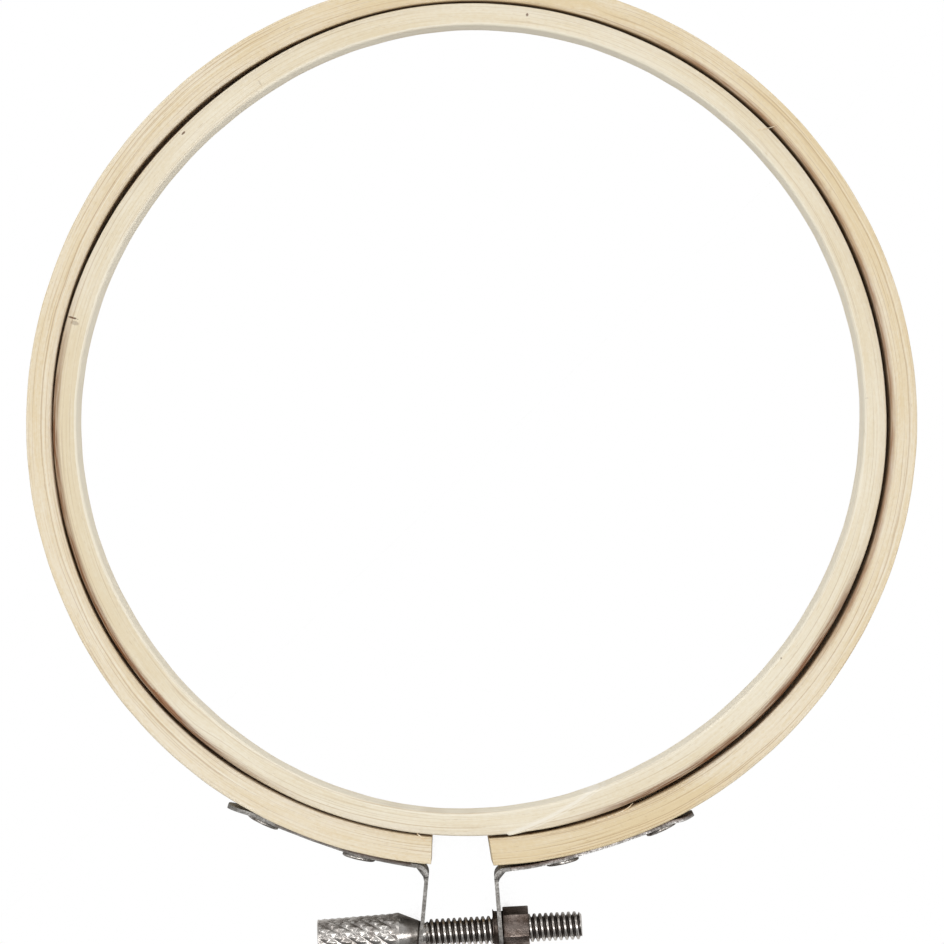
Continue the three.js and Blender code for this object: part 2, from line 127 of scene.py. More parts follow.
# Gives a piece an attribute of its own: a number at every point, or other values at every face corner
def write(piece, name, values, kind="FLOAT", domain="POINT"):
    attribute = piece.data.attributes.new(name, kind, domain)
    socket = "vector" if kind == "FLOAT_VECTOR" else "value"
    attribute.data.foreach_set(socket, np.asarray(values, np.float32).ravel())


def unit(vectors):
    return vectors / np.linalg.norm(vectors, axis=-1, keepdims=True)


# Smooth step from 0 at the low edge to 1 at the high one
def ramp(value, low, high):
    part = np.clip((value - low) / (high - low), 0, 1)
    return part * part * (3 - 2 * part)


# 1 inside a span of degrees, with soft ends
def span(angle, low, high, soft=4.0):
    return ramp(angle, low - soft, low + soft) * (1 - ramp(angle, high - soft, high + soft))


# Radius of a ring that isn't quite round: the sum of cosine waves that passes through radii given at
# even steps of angle from the split onwards
def unround(angle, radii):
    waves = np.fft.rfft(radii) / len(radii)
    counts = np.arange(len(waves))
    weights = np.where((counts == 0) | (counts * 2 == len(radii)), 1, 2) * waves
    turn = np.radians(np.ravel(angle) - splitAngle)
    total = (weights[:, None] * np.exp(1j * counts[:, None] * turn)).sum(0).real
    return total.reshape(np.shape(angle))


# Materials

def srgb(red, green, blue):
    parts = np.array([red, green, blue]) / 255
    linear = np.where(parts <= 0.04045, parts / 12.92, ((parts + 0.055) / 1.055) ** 2.4)
    return (*linear.tolist(), 1.0)


# A node tree with short names for the nodes and links that a material or group needs
class Tree:
    def __init__(self, tree):
        self.nodes = tree.nodes
        self.links = tree.links

    def feed(self, value, socket):
        if isinstance(value, bpy.types.NodeSocket):
            self.links.new(value, socket)
        elif value is not None:
            socket.default_value = value

    def fill(self, sockets, values):
        for key, value in values.items():
            self.feed(value, sockets[key])

    def add(self, kind, inputs=None, **settings):
        node = self.nodes.new(kind)
        for key, value in settings.items():
            setattr(node, key, value)
        self.fill(node.inputs, inputs or {})
        return node

    # An operation on one value, or on several from the left
    def math(self, operation, total, *others, clamp=False):
        for other in others or [None]:
            total = self.add("ShaderNodeMath", {0: total, 1: other}, operation=operation,
                             use_clamp=clamp).outputs[0]
        return total

    plus = partialmethod(math, "ADD")
    minus = partialmethod(math, "SUBTRACT")
    times = partialmethod(math, "MULTIPLY")
    shared = partialmethod(math, "DIVIDE")

    # The piece's own attribute
    def own(self, name, output="Fac"):
        return self.add("ShaderNodeAttribute", attribute_name=name).outputs[output]

    def group(self, group, inputs):
        return self.add("ShaderNodeGroup", inputs, node_tree=group).outputs

    # Noise of one scale, or of three along the axes
    def noise(self, place, scale, detail=2.0, rough=0.5):
        if isinstance(scale, tuple):
            stretched = self.add("ShaderNodeVectorMath", {0: place, 1: scale}, operation="MULTIPLY")
            place, scale = stretched.outputs[0], 1.0
        return self.add("ShaderNodeTexNoise", {"Vector": place, "Scale": scale, "Detail": detail,
                                               "Roughness": rough}).outputs[0]

    def remap(self, value, low, high, toLow=0.0, toHigh=1.0):
        return self.add("ShaderNodeMapRange", {0: value, 1: low, 2: high, 3: toLow, 4: toHigh},
                        interpolation_type="SMOOTHSTEP").outputs[0]

    def mix(self, factor, a, b):
        return self.add("ShaderNodeMix", {0: factor, 6: a, 7: b}, data_type="RGBA").outputs[2]

    def bump(self, height, strength, distance):
        return self.add("ShaderNodeBump", {"Height": height, "Strength": strength,
                                           "Distance": distance}).outputs[0]


# A node group whose sockets are given by kind
def newGroup(name, inputs, outputs):
    group = bpy.data.node_groups.new(name, "ShaderNodeTree")
    for way, sockets in (("INPUT", inputs), ("OUTPUT", outputs)):
        for kind, labels in sockets.items():
            for label in labels:
                group.interface.new_socket(name=label, in_out=way, socket_type="NodeSocket" + kind)
    tree = Tree(group)
    return group, tree, tree.add("NodeGroupInput").outputs, tree.add("NodeGroupOutput").inputs


# Bamboo, from a place in millimetres: x along the strip, y from its outer face inwards, z up. Its lines
# are the crests of a cosine of the depth, bent by slow noise and faded in and out along the strip, with
# a pale line beside each dark one. Finer fibres, pores and slow patches of tone lie between them.
def bambooGroup():
    group, tree, given, made = newGroup(
        "bambooGrain", {"Vector": ["Place"], "Color": ["Pale", "Straw", "Line"], "Float": ["Lines", "Tone"]},
        {"Color": ["Color"], "Float": ["Height", "Roughness"]})
    place = given["Place"]
    depth = tree.add("ShaderNodeSeparateXYZ", {0: place}).outputs[1]
    phase = tree.plus(tree.times(depth, 13.5), tree.times(tree.noise(place, (0.025, 0.9, 0.9)), 16.0))
    crest = tree.math("COSINE", phase)
    beside = tree.math("COSINE", tree.plus(phase, 1.7))
    shown = tree.remap(tree.noise(place, (0.055, 1.6, 1.6)), 0.4, 0.68)
    dark = tree.times(tree.remap(crest, 0.55, 1.0), shown)
    light = tree.times(tree.remap(beside, 0.5, 1.0), shown)
    fibre = tree.noise(place, (0.12, 6.0, 6.0), 3.0, 0.65)
    mottle = tree.noise(place, (1.6, 2.4, 2.4), 2.0, 0.6)
    patch = tree.noise(place, (0.035, 0.35, 0.35))
    pore = tree.remap(tree.noise(place, (0.7, 8.0, 8.0), 1.0), 0.68, 0.76)
    mixed = tree.plus(tree.times(fibre, 0.55), tree.times(mottle, 0.35), tree.times(patch, 0.7))
    color = tree.mix(tree.remap(tree.plus(mixed, given["Tone"]), 0.55, 1.1), given["Pale"], given["Straw"])
    color = tree.mix(tree.times(light, tree.times(given["Lines"], 0.7)), color, given["Pale"])
    color = tree.mix(tree.times(dark, given["Lines"]), color, given["Line"])
    color = tree.mix(tree.times(pore, 0.3), color, given["Line"])
    height = tree.minus(tree.times(fibre, 0.8), tree.times(dark, 0.4), tree.times(pore, 0.4))
    tree.fill(made, {"Color": color, "Height": height, "Roughness": tree.remap(fibre, 0.3, 0.7, 0.5, 0.68)})
    return group


# One long line of the grain: a band at a given depth below the outer face that wanders a little and
# fades at both ends. Its output is a mask.
def grainLineGroup():
    group, tree, given, made = newGroup(
        "grainLine", {"Vector": ["Place"], "Float": ["Depth", "Slope", "Start", "End", "Width"]},
        {"Float": ["Mask"]})
    along, depth, _ = tree.add("ShaderNodeSeparateXYZ", {0: given["Place"]}).outputs
    wander = tree.minus(tree.noise(given["Place"], (0.09, 0.0, 0.0)), 0.5)
    beyond = tree.minus(along, given["Start"])
    centre = tree.plus(given["Depth"], tree.times(beyond, given["Slope"]), tree.times(wander, 0.4))
    off = tree.math("ABSOLUTE", tree.minus(depth, centre))
    across = tree.minus(1.0, tree.shared(off, given["Width"]), clamp=True)
    begun = tree.shared(beyond, 3.0, clamp=True)
    left = tree.shared(tree.minus(given["End"], along), 3.0, clamp=True)
    tree.feed(tree.times(across, tree.times(begun, left)), made["Mask"])
    return group


# Small dark mark: 1 inside an ellipse about a place on the front face, with a ragged soft edge
def darkMarkGroup():
    group, tree, given, made = newGroup(
        "darkMark", {"Vector": ["Place"], "Float": ["Along", "Depth", "Long", "Wide"]}, {"Float": ["Mask"]})
    along, depth, height = tree.add("ShaderNodeSeparateXYZ", {0: given["Place"]}).outputs
    first = tree.shared(tree.minus(along, given["Along"]), given["Long"])
    second = tree.shared(tree.minus(depth, given["Depth"]), given["Wide"])
    away = tree.math("SQRT", tree.plus(tree.times(first, first), tree.times(second, second)))
    ragged = tree.minus(tree.noise(given["Place"], (3.0, 5.0, 5.0)), 0.5)
    away = tree.plus(away, tree.times(ragged, 1.2))
    tree.feed(tree.times(tree.remap(away, 0.6, 1.1, 1.0, 0.0), tree.remap(height, 5.0, 6.5)), made["Mask"])
    return group


# Fine wear of a metal surface from its place: soft blotches, thin scratches, speckles and small pits
def metalWearGroup():
    group, tree, given, made = newGroup(
        "metalWear", {"Vector": ["Place"], "Float": ["Scale"]},
        {"Float": ["Blotch", "Scratch", "Speckle", "Pit"]})
    place = tree.add("ShaderNodeVectorMath", {0: given["Place"], "Scale": given["Scale"]},
                     operation="SCALE").outputs[0]
    for label, scale, detail, rough, low, high in (
            ("Blotch", 0.6, 3.0, 0.6, 0.35, 0.7), ("Scratch", (0.6, 9.0, 9.0), 3.0, 0.65, 0.52, 0.72),
            ("Speckle", 3.2, 2.0, 0.6, 0.42, 0.62), ("Pit", 6.0, 2.0, 0.5, 0.66, 0.76)):
        tree.feed(tree.remap(tree.noise(place, scale, detail, rough), low, high), made[label])
    return group


bambooGrain = bambooGroup()
grainLine = grainLineGroup()
darkMark = darkMarkGroup()
metalWear = metalWearGroup()


def newMaterial(name):
    material = bpy.data.materials.new(name)
    material.use_nodes = True
    tree = Tree(material.node_tree)
    return material, tree, tree.nodes["Principled BSDF"]


# Sanded bamboo: grain from the piece's own place attribute, its drawn lines and marks, and painted brown
# shade on worn front edges and on the walls at the gap between the rings. The grain starts afresh where the
# scarf joint's signed distance passes zero.
def bambooMaterial(name, look):
    material, tree, shader = newMaterial(name)
    side = tree.own("scarfSide")
    jump = tree.times(tree.math("GREATER_THAN", side, 0.0), look["stripLength"])
    jump = tree.add("ShaderNodeCombineXYZ", {0: jump}).outputs[0]
    place = tree.add("ShaderNodeVectorMath", {0: tree.own("grainPlace", "Vector"), 1: jump},
                     operation="ADD").outputs[0]
    grain = tree.group(bambooGrain, {"Place": place, "Tone": tree.own("strawToneAndLight"), "Pale": look["pale"],
                                     "Straw": look["straw"], "Line": look["line"], "Lines": look["lines"]})
    color = grain["Color"]
    marked = [(grainLine, {"Start": start, "End": end, "Depth": depth, "Slope": slope, "Width": width},
               strength, "line", "glint") for start, end, depth, slope, width, strength in look["drawnLines"]]
    marked += [(darkMark, {"Along": along, "Depth": depth, "Long": long_, "Wide": wide},
                strength, "mark", "stain") for along, depth, long_, wide, strength in look["marks"]]
    for group, inputs, strength, strong, weak in marked:
        mask = tree.group(group, {"Place": place, **inputs})[0]
        color = tree.mix(tree.times(mask, abs(strength)), color, look[strong if strength > 0 else weak])
    # Painted brown shade, streaked a little, where the piece's edge attribute says: worn front edges near the
    # gap and the walls at the gap
    streak = tree.remap(tree.noise(place, (0.25, 5.0, 5.0)), 0.3, 0.65, 0.55, 1.1)
    color = tree.mix(tree.times(tree.own("edgeShadeBrown"), streak, clamp=True), color, look["shadeBrown"])
    for offset, wide, strength in look["scarfLines"]:
        away = tree.math("ABSOLUTE", tree.plus(side, offset))
        color = tree.mix(tree.remap(away, wide * 0.45, wide, strength, 0.0), color, look["glint"])
    tree.fill(shader.inputs, {"Base Color": color, "Roughness": grain["Roughness"],
                              "Normal": tree.bump(grain["Height"], look["bump"], 0.00006),
                              "Specular IOR Level": 0.35})
    return material


# Places along a strip are millimetres from the split at mid wall, so 1 degree is about 1.04 mm on the
# outer ring and 0.97 mm on the inner one
outerWood = {
    "pale": srgb(244, 233, 211),
    "straw": srgb(230, 209, 168),
    "line": srgb(170, 132, 88),
    "glint": srgb(252, 246, 228),
    "mark": srgb(96, 62, 34),
    # colour of the painted brown shade on worn edges and gap walls
    "shadeBrown": srgb(138, 78, 30),
    "stain": srgb(186, 128, 70),
    "lines": 0.42,
    "bump": 0.6,
    "stripLength": 0.0,
    "scarfLines": [],
    # start, end, depth, slope, half width, strength (negative for a pale line)
    "drawnLines": [(6, 32, 0.45, 0.0, 0.1, 0.5), (8, 40, 0.85, 0.0, 0.08, 0.45),
                   (10, 46, 1.2, -0.004, 0.09, 0.6), (5, 40, 3.3, 0.0, 0.1, 0.5),
                   (60, 150, 1.05, 0.001, 0.11, 0.55), (58, 140, 0.8, 0.001, 0.09, -0.5),
                   (215, 258, 0.6, 0.004, 0.1, 0.5), (212, 250, 1.0, 0.006, 0.09, 0.5),
                   (218, 246, 1.4, 0.004, 0.08, -0.5), (208, 290, 2.1, 0.0, 0.1, 0.35),
                   (245, 345, 2.05, 0.0, 0.11, 0.5), (245, 350, 2.35, 0.0, 0.09, -0.6)],
    # along, depth, half length, half width, strength
    "marks": [],
}
innerWood = {
    "pale": srgb(245, 236, 215),
    "straw": srgb(232, 216, 183),
    "line": srgb(180, 148, 102),
    "glint": srgb(252, 246, 232),
    "mark": srgb(96, 60, 34),
    # colour of the painted brown shade on worn edges and gap walls
    "shadeBrown": srgb(128, 76, 38),
    "stain": srgb(176, 112, 56),
    "lines": 0.3,
    "bump": 0.6,
    "stripLength": 349.3,
    # offset, half width, strength
    "scarfLines": [(0.0, 0.34, 0.66), (0.46, 0.12, 0.4), (-0.36, 0.1, 0.25)],
    "drawnLines": [(8, 45, 0.75, 0.0, 0.09, 0.4), (20, 70, 1.1, 0.0, 0.08, 0.35),
                   (100, 135, 2.1, -0.004, 0.1, 0.35), (205, 235, 2.9, 0.0, 0.1, 0.4),
                   (222, 260, 0.7, 0.003, 0.1, 0.45), (260, 292, 1.2, 0.0, 0.08, 0.4),
                   (320, 352, 0.8, 0.012, 0.1, 0.5), (330, 352, 2.9, 0.01, 0.1, 0.45),
                   (300, 340, 3.0, 0.0, 0.12, 0.3)],
    "marks": [(247.2, 0.75, 0.15, 0.75, 0.9), (247.8, 1.2, 0.35, 0.7, 0.35), (217.6, 0.66, 0.42, 0.15, 0.85),
              (166.4, 1.05, 0.2, 0.26, 0.8), (50.5, 3.3, 0.2, 0.14, 0.6), (205.0, 2.0, 0.12, 0.5, 0.25),
              (90.0, 2.6, 0.08, 0.3, 0.2), (303.3, 0.35, 3.4, 0.42, -0.6), (292.0, 0.3, 6.0, 0.3, -0.25)],
}


# Torn fibre of the same bamboo: noise along Object coordinates, since it is too thin for the strip's grain
def fibreMaterial(name, look):
    material, tree, shader = newMaterial(name)
    fleck = tree.noise(tree.add("ShaderNodeTexCoord").outputs["Object"], 2500.0, 3.0, 0.6)
    color = tree.mix(tree.remap(fleck, 0.35, 0.65), look["pale"], look["orange"])
    tree.fill(shader.inputs, {"Base Color": color,
                              "Roughness": tree.remap(fleck, 0.3, 0.7, 0.5, 0.75),
                              "Normal": tree.bump(fleck, 0.5, 0.00003)})
    return material


fibreLook = {"pale": srgb(250, 236, 210), "orange": srgb(228, 196, 152)}


# Nickel plating: blotches change its gloss, speckles and pits its colour, and the grooves and edges
# that one of the piece's attributes marks get a painted dark shade. A side that lies against the wood gets a
# painted brown shade.
def nickelMaterial(name, look):
    material, tree, shader = newMaterial(name)
    place = tree.add("ShaderNodeTexCoord").outputs["Object"]
    blotch, scratch, speckle, pit = tree.group(metalWear, {"Place": place, "Scale": 1 / metres})
    # Painted shade: dark in the grooves, thread roots and edges that the piece's attribute marks, a little
    # more where blotched
    groove = tree.remap(tree.plus(tree.own("paintedShade"), tree.times(blotch, 0.15)), 0.25, 0.85)
    color = tree.mix(blotch, look["bright"], look["dull"])
    for mask, strength in ((speckle, "speckles"), (pit, "pits"), (groove, "grooveShade")):
        color = tree.mix(tree.times(mask, look[strength]), color, look["dirtAndShade"])
    # Painted brown shade on a strap's side that lies against the wood
    color = tree.mix(tree.times(tree.own("woodSide"), 0.92), color, strapShadeBrown)
    rough = tree.plus(tree.times(blotch, look["roughSpread"]), look["rough"], tree.times(scratch, 0.08),
                      tree.times(groove, look["grooveRough"]))
    height = tree.plus(tree.times(scratch, 0.5), tree.times(pit, -1.0), tree.times(speckle, 0.5))
    tree.fill(shader.inputs, {"Base Color": color, "Roughness": rough, "Metallic": 1.0,
                              "Normal": tree.bump(height, look["bump"], 0.00002),
                              "Specular Tint": look["grazing"]})
    return material


# Colour of the painted brown shade between a strap and the wood
strapShadeBrown = srgb(74, 50, 36)
# In each look the dark colour is real dirt for speckles and pits, and painted shade for the grooves
sheetLook = {"bright": srgb(222, 220, 217), "dull": srgb(190, 187, 183), "dirtAndShade": srgb(104, 100, 95),
             "rough": 0.28, "roughSpread": 0.14, "grooveRough": 0.22, "speckles": 0.65, "pits": 0.6,
             "grooveShade": 0.6, "bump": 0.9, "grazing": (0.6, 0.6, 0.6, 1)}
rivetLook = {"bright": srgb(200, 195, 189), "dull": srgb(116, 109, 102), "dirtAndShade": srgb(72, 62, 54),
             "rough": 0.2, "roughSpread": 0.14, "grooveRough": 0.0, "speckles": 0.5, "pits": 0.5,
             "grooveShade": 0.0, "bump": 0.9, "grazing": (0.3, 0.28, 0.26, 1)}
screwLook = {"bright": srgb(218, 214, 209), "dull": srgb(182, 175, 169), "dirtAndShade": srgb(56, 45, 38),
             "rough": 0.12, "roughSpread": 0.1, "grooveRough": 0.25, "speckles": 0.1, "pits": 0.3,
             "grooveShade": 0.85, "bump": 0.4, "grazing": (0.8, 0.77, 0.74, 1)}
nutLook = {"bright": srgb(140, 128, 121), "dull": srgb(84, 71, 63), "dirtAndShade": srgb(44, 31, 24),
           "rough": 0.14, "roughSpread": 0.12, "grooveRough": 0.1, "speckles": 0.15, "pits": 0.4,
           "grooveShade": 0.8, "bump": 0.5, "grazing": (0.95, 0.9, 0.86, 1)}

outerBamboo, innerBamboo = bambooMaterial("outerBamboo", outerWood), bambooMaterial("innerBamboo", innerWood)
fibreBamboo = fibreMaterial("fibreBamboo", fibreLook)
platedSheet, rivetSteel = nickelMaterial("platedSheet", sheetLook), nickelMaterial("rivetSteel", rivetLook)
nickelScrew, nickelNut = nickelMaterial("nickelScrew", screwLook), nickelMaterial("nickelNut", nutLook)
print("materials made")


# Both rings: a rectangle with rounded corners, carried round the hoop

# Radii at every 15 degrees from the split onwards
outerRing = {
    "outside": [61.25, 61.34, 61.46, 61.46, 61.43, 61.47, 61.53, 61.51, 61.41, 61.38, 61.44, 61.46,
                61.36, 61.28, 61.31, 61.30, 61.22, 61.19, 61.26, 61.35, 61.53, 61.72, 61.68, 61.42],
    "inside": [57.50, 57.49, 57.58, 57.69, 57.80, 57.88, 57.89, 57.83, 57.90, 58.02, 58.06, 58.05,
               58.03, 57.87, 57.60, 57.52, 57.67, 57.80, 57.87, 58.02, 58.19, 58.16, 57.93, 57.66],
    "ease": 0.24,               # rounding of the long edges
    "wornEase": 0.5,            # rounding of the front inner edge where it is worn and gets painted brown shade
    "worn": (-32, 66),          # degrees
    "splitReach": (4.0, 4.25),  # from the middle of the split to the left and right end, at mid wall
    "endSkew": (0.6, 10.6),     # degrees that each sawn end leans away from the middle of the split
    "endLean": (0.05, 0.25),    # how much further each end reaches at the underside
    "endEase": 0.12,
    "knot": (76.5, 5.0, 0.35),  # degrees, reach in degrees and swing in mm of the wavy grain
    # where the wall stands closer to the inner ring below its front edge: start, end and by how much
    "touching": [(-100, -91, 0.2), (-76, -48, 0.08), (178, 194, 0.14), (238, 268, 0.1)],
    "ledge": (0.4, 0.8, 7.25, 7.6),     # heights where that begins and ends
    "sink": (0.45, 1.55, 1.85),  # for a rivet's foot: depth, radius of its flat, radius of its rim
    "grainRadius": 59.6,        # where lengths along the strip are true
    "hingeRadius": 59.75,       # of the hinge opposite the split
    "waver": (0.03, 0.02),      # of the outside and the inside
    "shadeBrown": (0.12, 0.55, 0.15, 0.95),   # painted brown shade on the front edge: everywhere, more where worn, and where it fades
    "yellow": [(-95, -56, 0.22), (22, 124, 0.12)],      # start, end and strength
}
innerRing = {
    "outside": [57.12, 57.02, 57.02, 57.05, 57.15, 57.30, 57.30, 57.26, 57.38, 57.54, 57.58, 57.61,
                57.66, 57.49, 57.04, 56.76, 56.98, 57.39, 57.61, 57.72, 57.82, 57.74, 57.49, 57.32],
    "inside": [53.97, 53.61, 53.30, 53.28, 53.55, 53.93, 54.21, 54.35, 54.42, 54.50, 54.60, 54.67,
               54.59, 54.27, 53.83, 53.58, 53.71, 54.05, 54.29, 54.29, 54.14, 54.06, 54.12, 54.15],
    "ease": 0.24,
    "wornEase": 0.8,
    "worn": ((-70, -22), (170, 238)),
    "knot": (228.0, 9.0, 0.3),
    "grainRadius": 55.6,
    "waver": (0.015, 0.035),
    # painted brown shade on the front edge: everywhere, more where worn, and where it fades
    "shadeBrown": (0.08, 0.8, 0.4, 1.15),
    "yellow": [(168, 222, 0.16)],
}
gapShadeBrown = (0.4, 0.2, 6.8, 7.7)     # painted brown shade of the walls at the gap: low down, less at the front, heights between
sheet = 0.55
strapWidth = 7.0
strapPlay = 0.08
screwSlope = 4.45           # degrees
rivetArcs = ((14.1, 28.1), (14.1, 28.5))    # left and right, along the outside, from the middle of the split
nominalRadius = 61.6        # where those arcs are measured


# Section of a ring as radii and heights, for all columns at once. It runs round the rectangle from the
# inner low corner: each corner is a quarter circle of its own ease, each side a straight line.
def ringSection(inside, outside, eases, innerHeights, outerHeights):
    turns = np.linspace(0, 90, 6)
    centres = [(inside, 1, 0, 1, 180), (outside, -1, 0, 1, 270),
               (outside, -1, ringHeight, -1, 0), (inside, 1, ringHeight, -1, 90)]
    arcs = [(edge + inwards * ease + ease * np.cos(np.radians(start + turns))[:, None],
             level + upwards * ease + ease * np.sin(np.radians(start + turns))[:, None])
            for (edge, inwards, level, upwards, start), ease in zip(centres, eases)]
    even = faceSteps[:, None] * np.ones_like(inside)
    rise = (outerHeights[:, None] - eases[1]) / (ringHeight - eases[1] - eases[2])
    fall = (ringHeight - eases[3] - innerHeights[::-1, None]) / (ringHeight - eases[3] - eases[0])
    steps = [even, rise, even, fall]
    radii, heights, names = [], [], []
    for side, (arc, after, part) in enumerate(zip(arcs, arcs[1:] + arcs[:1], steps)):
        for values, this, next_ in zip((radii, heights), arc, after):
            values += [this, this[-1] + part * (next_[0] - this[-1])]
        names += ["corner%d" % side] * len(turns) + ["side%d" % side] * len(part)
    return np.concatenate(radii), np.concatenate(heights), np.array(names)


# Rows of the walls: close together at the edges of the strap's seat and about the rivets' feet
seatLow, seatHigh = midHeight - strapWidth / 2 - strapPlay, midHeight + strapWidth / 2 + strapPlay
outerHeights = np.array([seatLow - 0.02, seatLow + 0.02, 1.5, 2.75, 4.0, 5.25, 6.5, seatHigh - 0.02,
                         seatHigh + 0.02])
innerHeights = np.concatenate([[1.0, 1.5], np.linspace(1.9, 6.1, 19), [6.5, 7.0]])
plainHeights = np.array([1.0, 2.0, 3.0, 4.0, 5.0, 6.0, 7.0])
faceSteps = np.array([0.04, 0.12, 0.25, 0.38, 0.5, 0.62, 0.75, 0.88, 0.96])


# Slow waver of a hand-sanded edge: three sines along the ring
def waver(angle, size, seed):
    turn = np.radians(angle)
    return size * (np.sin(17 * turn + seed) + 0.7 * np.sin(41 * turn + 2.3 * seed)
                   + 0.5 * np.sin(73 * turn + 4.1 * seed)) / 2.2


def asPoints(radius, angle, height):
    turn = np.radians(angle)
    return np.stack([radius * np.cos(turn), radius * np.sin(turn), height], -1)


# Where a circle meets a sawn end, in degrees from the middle of the split: the end is a plane that stands
# splitReach away at mid wall and leans by the skew, so the angle is the skew plus an arc sine
def sawnAngle(radius, height, side, look):
    skew = math.radians(look["endSkew"][side])
    reach = look["splitReach"][side] - look["endLean"][side] * (1 - height / ringHeight)
    middle = (look["outside"][0] + look["inside"][0]) / 2
    return np.degrees(skew + np.arcsin((reach * math.cos(skew) - middle * math.sin(skew)) / radius))


# Radius of a strap's mid line at angles on the ring, and one far outside where there is no strap
def strapRadius(line, angle):
    away = np.degrees(np.arctan2(line[:, 1], line[:, 0]))
    away = np.where(away > 90, away - 360, away)
    order = np.argsort(away)
    return np.interp(angle, away[order], np.hypot(*line.T)[order], left=1e3, right=1e3)


# Brackets: one strip of sheet that follows the ring, bends outwards and ends in an ear

bracket = {
    "tipLift": (0.9, 0.62),     # left and right, at the tip
    "wedge": (0.45, 0.55),      # the same between the far rivet and the tip
    "wedgeAt": 3.4,             # past the far rivet
    # from the wood to the strap: near the bend, before, at and past the near rivet, midway between the
    # rivets, before, at and past the far one
    "offs": ((0.08, 0.04, 0.06, -0.1, -0.2, -0.12, -0.03, 0.06),
             (0.36, 0.22, 0.1, -0.1, -0.2, -0.12, -0.03, 0.06)),
    "tipLength": (5.2, 4.8),
    "tipCorner": 2.4,
    "seatReach": 2.3,           # half the flat stretch under a rivet
    "bendRadius": (1.1, 0.9),
    "earStation": (5.15, 5.78),
    "earLean": (3.9, 6.0),
    "earCorner": 3.4,
    "earHole": (2.2, 2.65),
    "gussetLeg": 0.45,          # how far it reaches past the bend
    "gussetWidth": 2.6,
    "edge": 0.1,                # rounding of every edge sharper than the angle
    "edgeAngle": 50,            # degrees
    "shadeFrom": (7.0, 0.0),    # where the painted brown shade starts, from the tip, on the side of the wood
    "shadeEnd": 1.0,            # where that shade and the darker cut edges end, before the bend
    "cutEdgeDark": (1.0, 0.5),      # painted shade on the strap's cut edges, partly their duller sheared steel
    "screwReach": 70.73,        # from the ring's middle to the screw, below the split's middle
}


# Length along a line of points
def reachAlong(points):
    return np.append(0, np.cumsum(np.linalg.norm(np.diff(points, axis=0), axis=1)))


def pointsAt(places, reach, line):
    return np.stack([np.interp(places, reach, column) for column in line.T], -1)


# Points at even steps along a line of points
def evenSteps(points, step):
    reach = reachAlong(points)
    count = max(2, int(round(reach[-1] / step)) + 1)
    return pointsAt(np.linspace(0, reach[-1], count), reach, points)


# Line with its corners rounded: a moving average, with the line run on past its ends point by point
def softened(points, reach):
    longer = np.concatenate([2 * points[0] - points[reach:0:-1], points,
                             2 * points[-1] - points[-2:-reach - 2:-1]])
    weights = np.hanning(2 * reach + 3)[1:-1]
    weights = weights / weights.sum()
    return np.stack([np.convolve(column, weights, "valid") for column in longer.T], -1)


def crossed(a, b):
    return a[0] * b[1] - a[1] * b[0]


# Mid line of a bracket on the right-hand side, from the strap's far tip to the ear's end: the strap's
# stations stand off the wood by their own distances, the bend is an arc, and the ear is straight
def bracketLine(side, look):
    near, far = rivetArcs[side]
    seat, station = look["seatReach"], look["earStation"][side]
    bendMid = look["bendRadius"][side] + sheet / 2
    arcs = np.array([far + look["tipLength"][side], far + look["wedgeAt"], far + seat * 0.7, far,
                     far - seat, (near + far) / 2, near + seat, near, near - seat,
                     (near - seat + station + bendMid) / 2])
    offs = np.array([look["tipLift"][side], look["wedge"][side], *look["offs"][side][::-1]])
    turn = arcs / nominalRadius
    angle = splitAngle + (1 if side else -1) * np.degrees(turn)
    radius = unround(angle, outerRing["outside"]) + offs + sheet / 2
    strap = np.stack([radius * np.sin(turn), -radius * np.cos(turn)], -1)
    lean, slope = math.radians(look["earLean"][side]), math.radians(screwSlope)
    earPoint = np.array([station, (station if side else -station) * math.tan(slope) - look["screwReach"]])
    strapHeading = np.array([-math.cos(turn[-1]), -math.sin(turn[-1])])
    earHeading = np.array([math.sin(lean), -math.cos(lean)])
    along = crossed(earPoint - strap[-1], earHeading) / crossed(strapHeading, earHeading)
    corner = strap[-1] + along * strapHeading
    turned = math.acos(float(strapHeading @ earHeading))
    start = corner - bendMid * math.tan(turned / 2) * strapHeading
    centre = start + bendMid * np.array([-strapHeading[1], strapHeading[0]])
    sweep = np.linspace(0, turned, 25)[:, None]
    spoke = start - centre
    bend = centre + np.cos(sweep) * spoke + np.sin(sweep) * np.array([-spoke[1], spoke[0]])
    strap = softened(evenSteps(np.concatenate([strap, [start]]), 0.1), 9)
    earEnd = earPoint + earHeading * strapWidth / 2
    return strap, bend, earPoint, earEnd


# Gives a sheet its thickness: both faces stand half of it off the mid surface along the points' normals,
# and a rim closes each edge that only one face runs along. The last array marks the points on a rim.
def thickened(points, quads, thickness):
    corners = [points[quads[:, corner]] for corner in range(4)]
    across = np.cross(corners[2] - corners[0], corners[3] - corners[1])
    normal = np.zeros_like(points)
    for corner in range(4):
        np.add.at(normal, quads[:, corner], across)
    normal = unit(normal) * thickness / 2
    count = len(points)
    starts, ends = quads.ravel(), np.roll(quads, -1, 1).ravel()
    lone = ~np.isin(starts * count + ends, ends * count + starts)
    rim = np.stack([ends[lone], starts[lone], starts[lone] + count, ends[lone] + count], -1)
    cut = np.zeros(2 * count)
    cut[rim.ravel()] = 1
    return np.concatenate([points + normal, points - normal]), [quads, quads[:, ::-1] + count, rim], cut


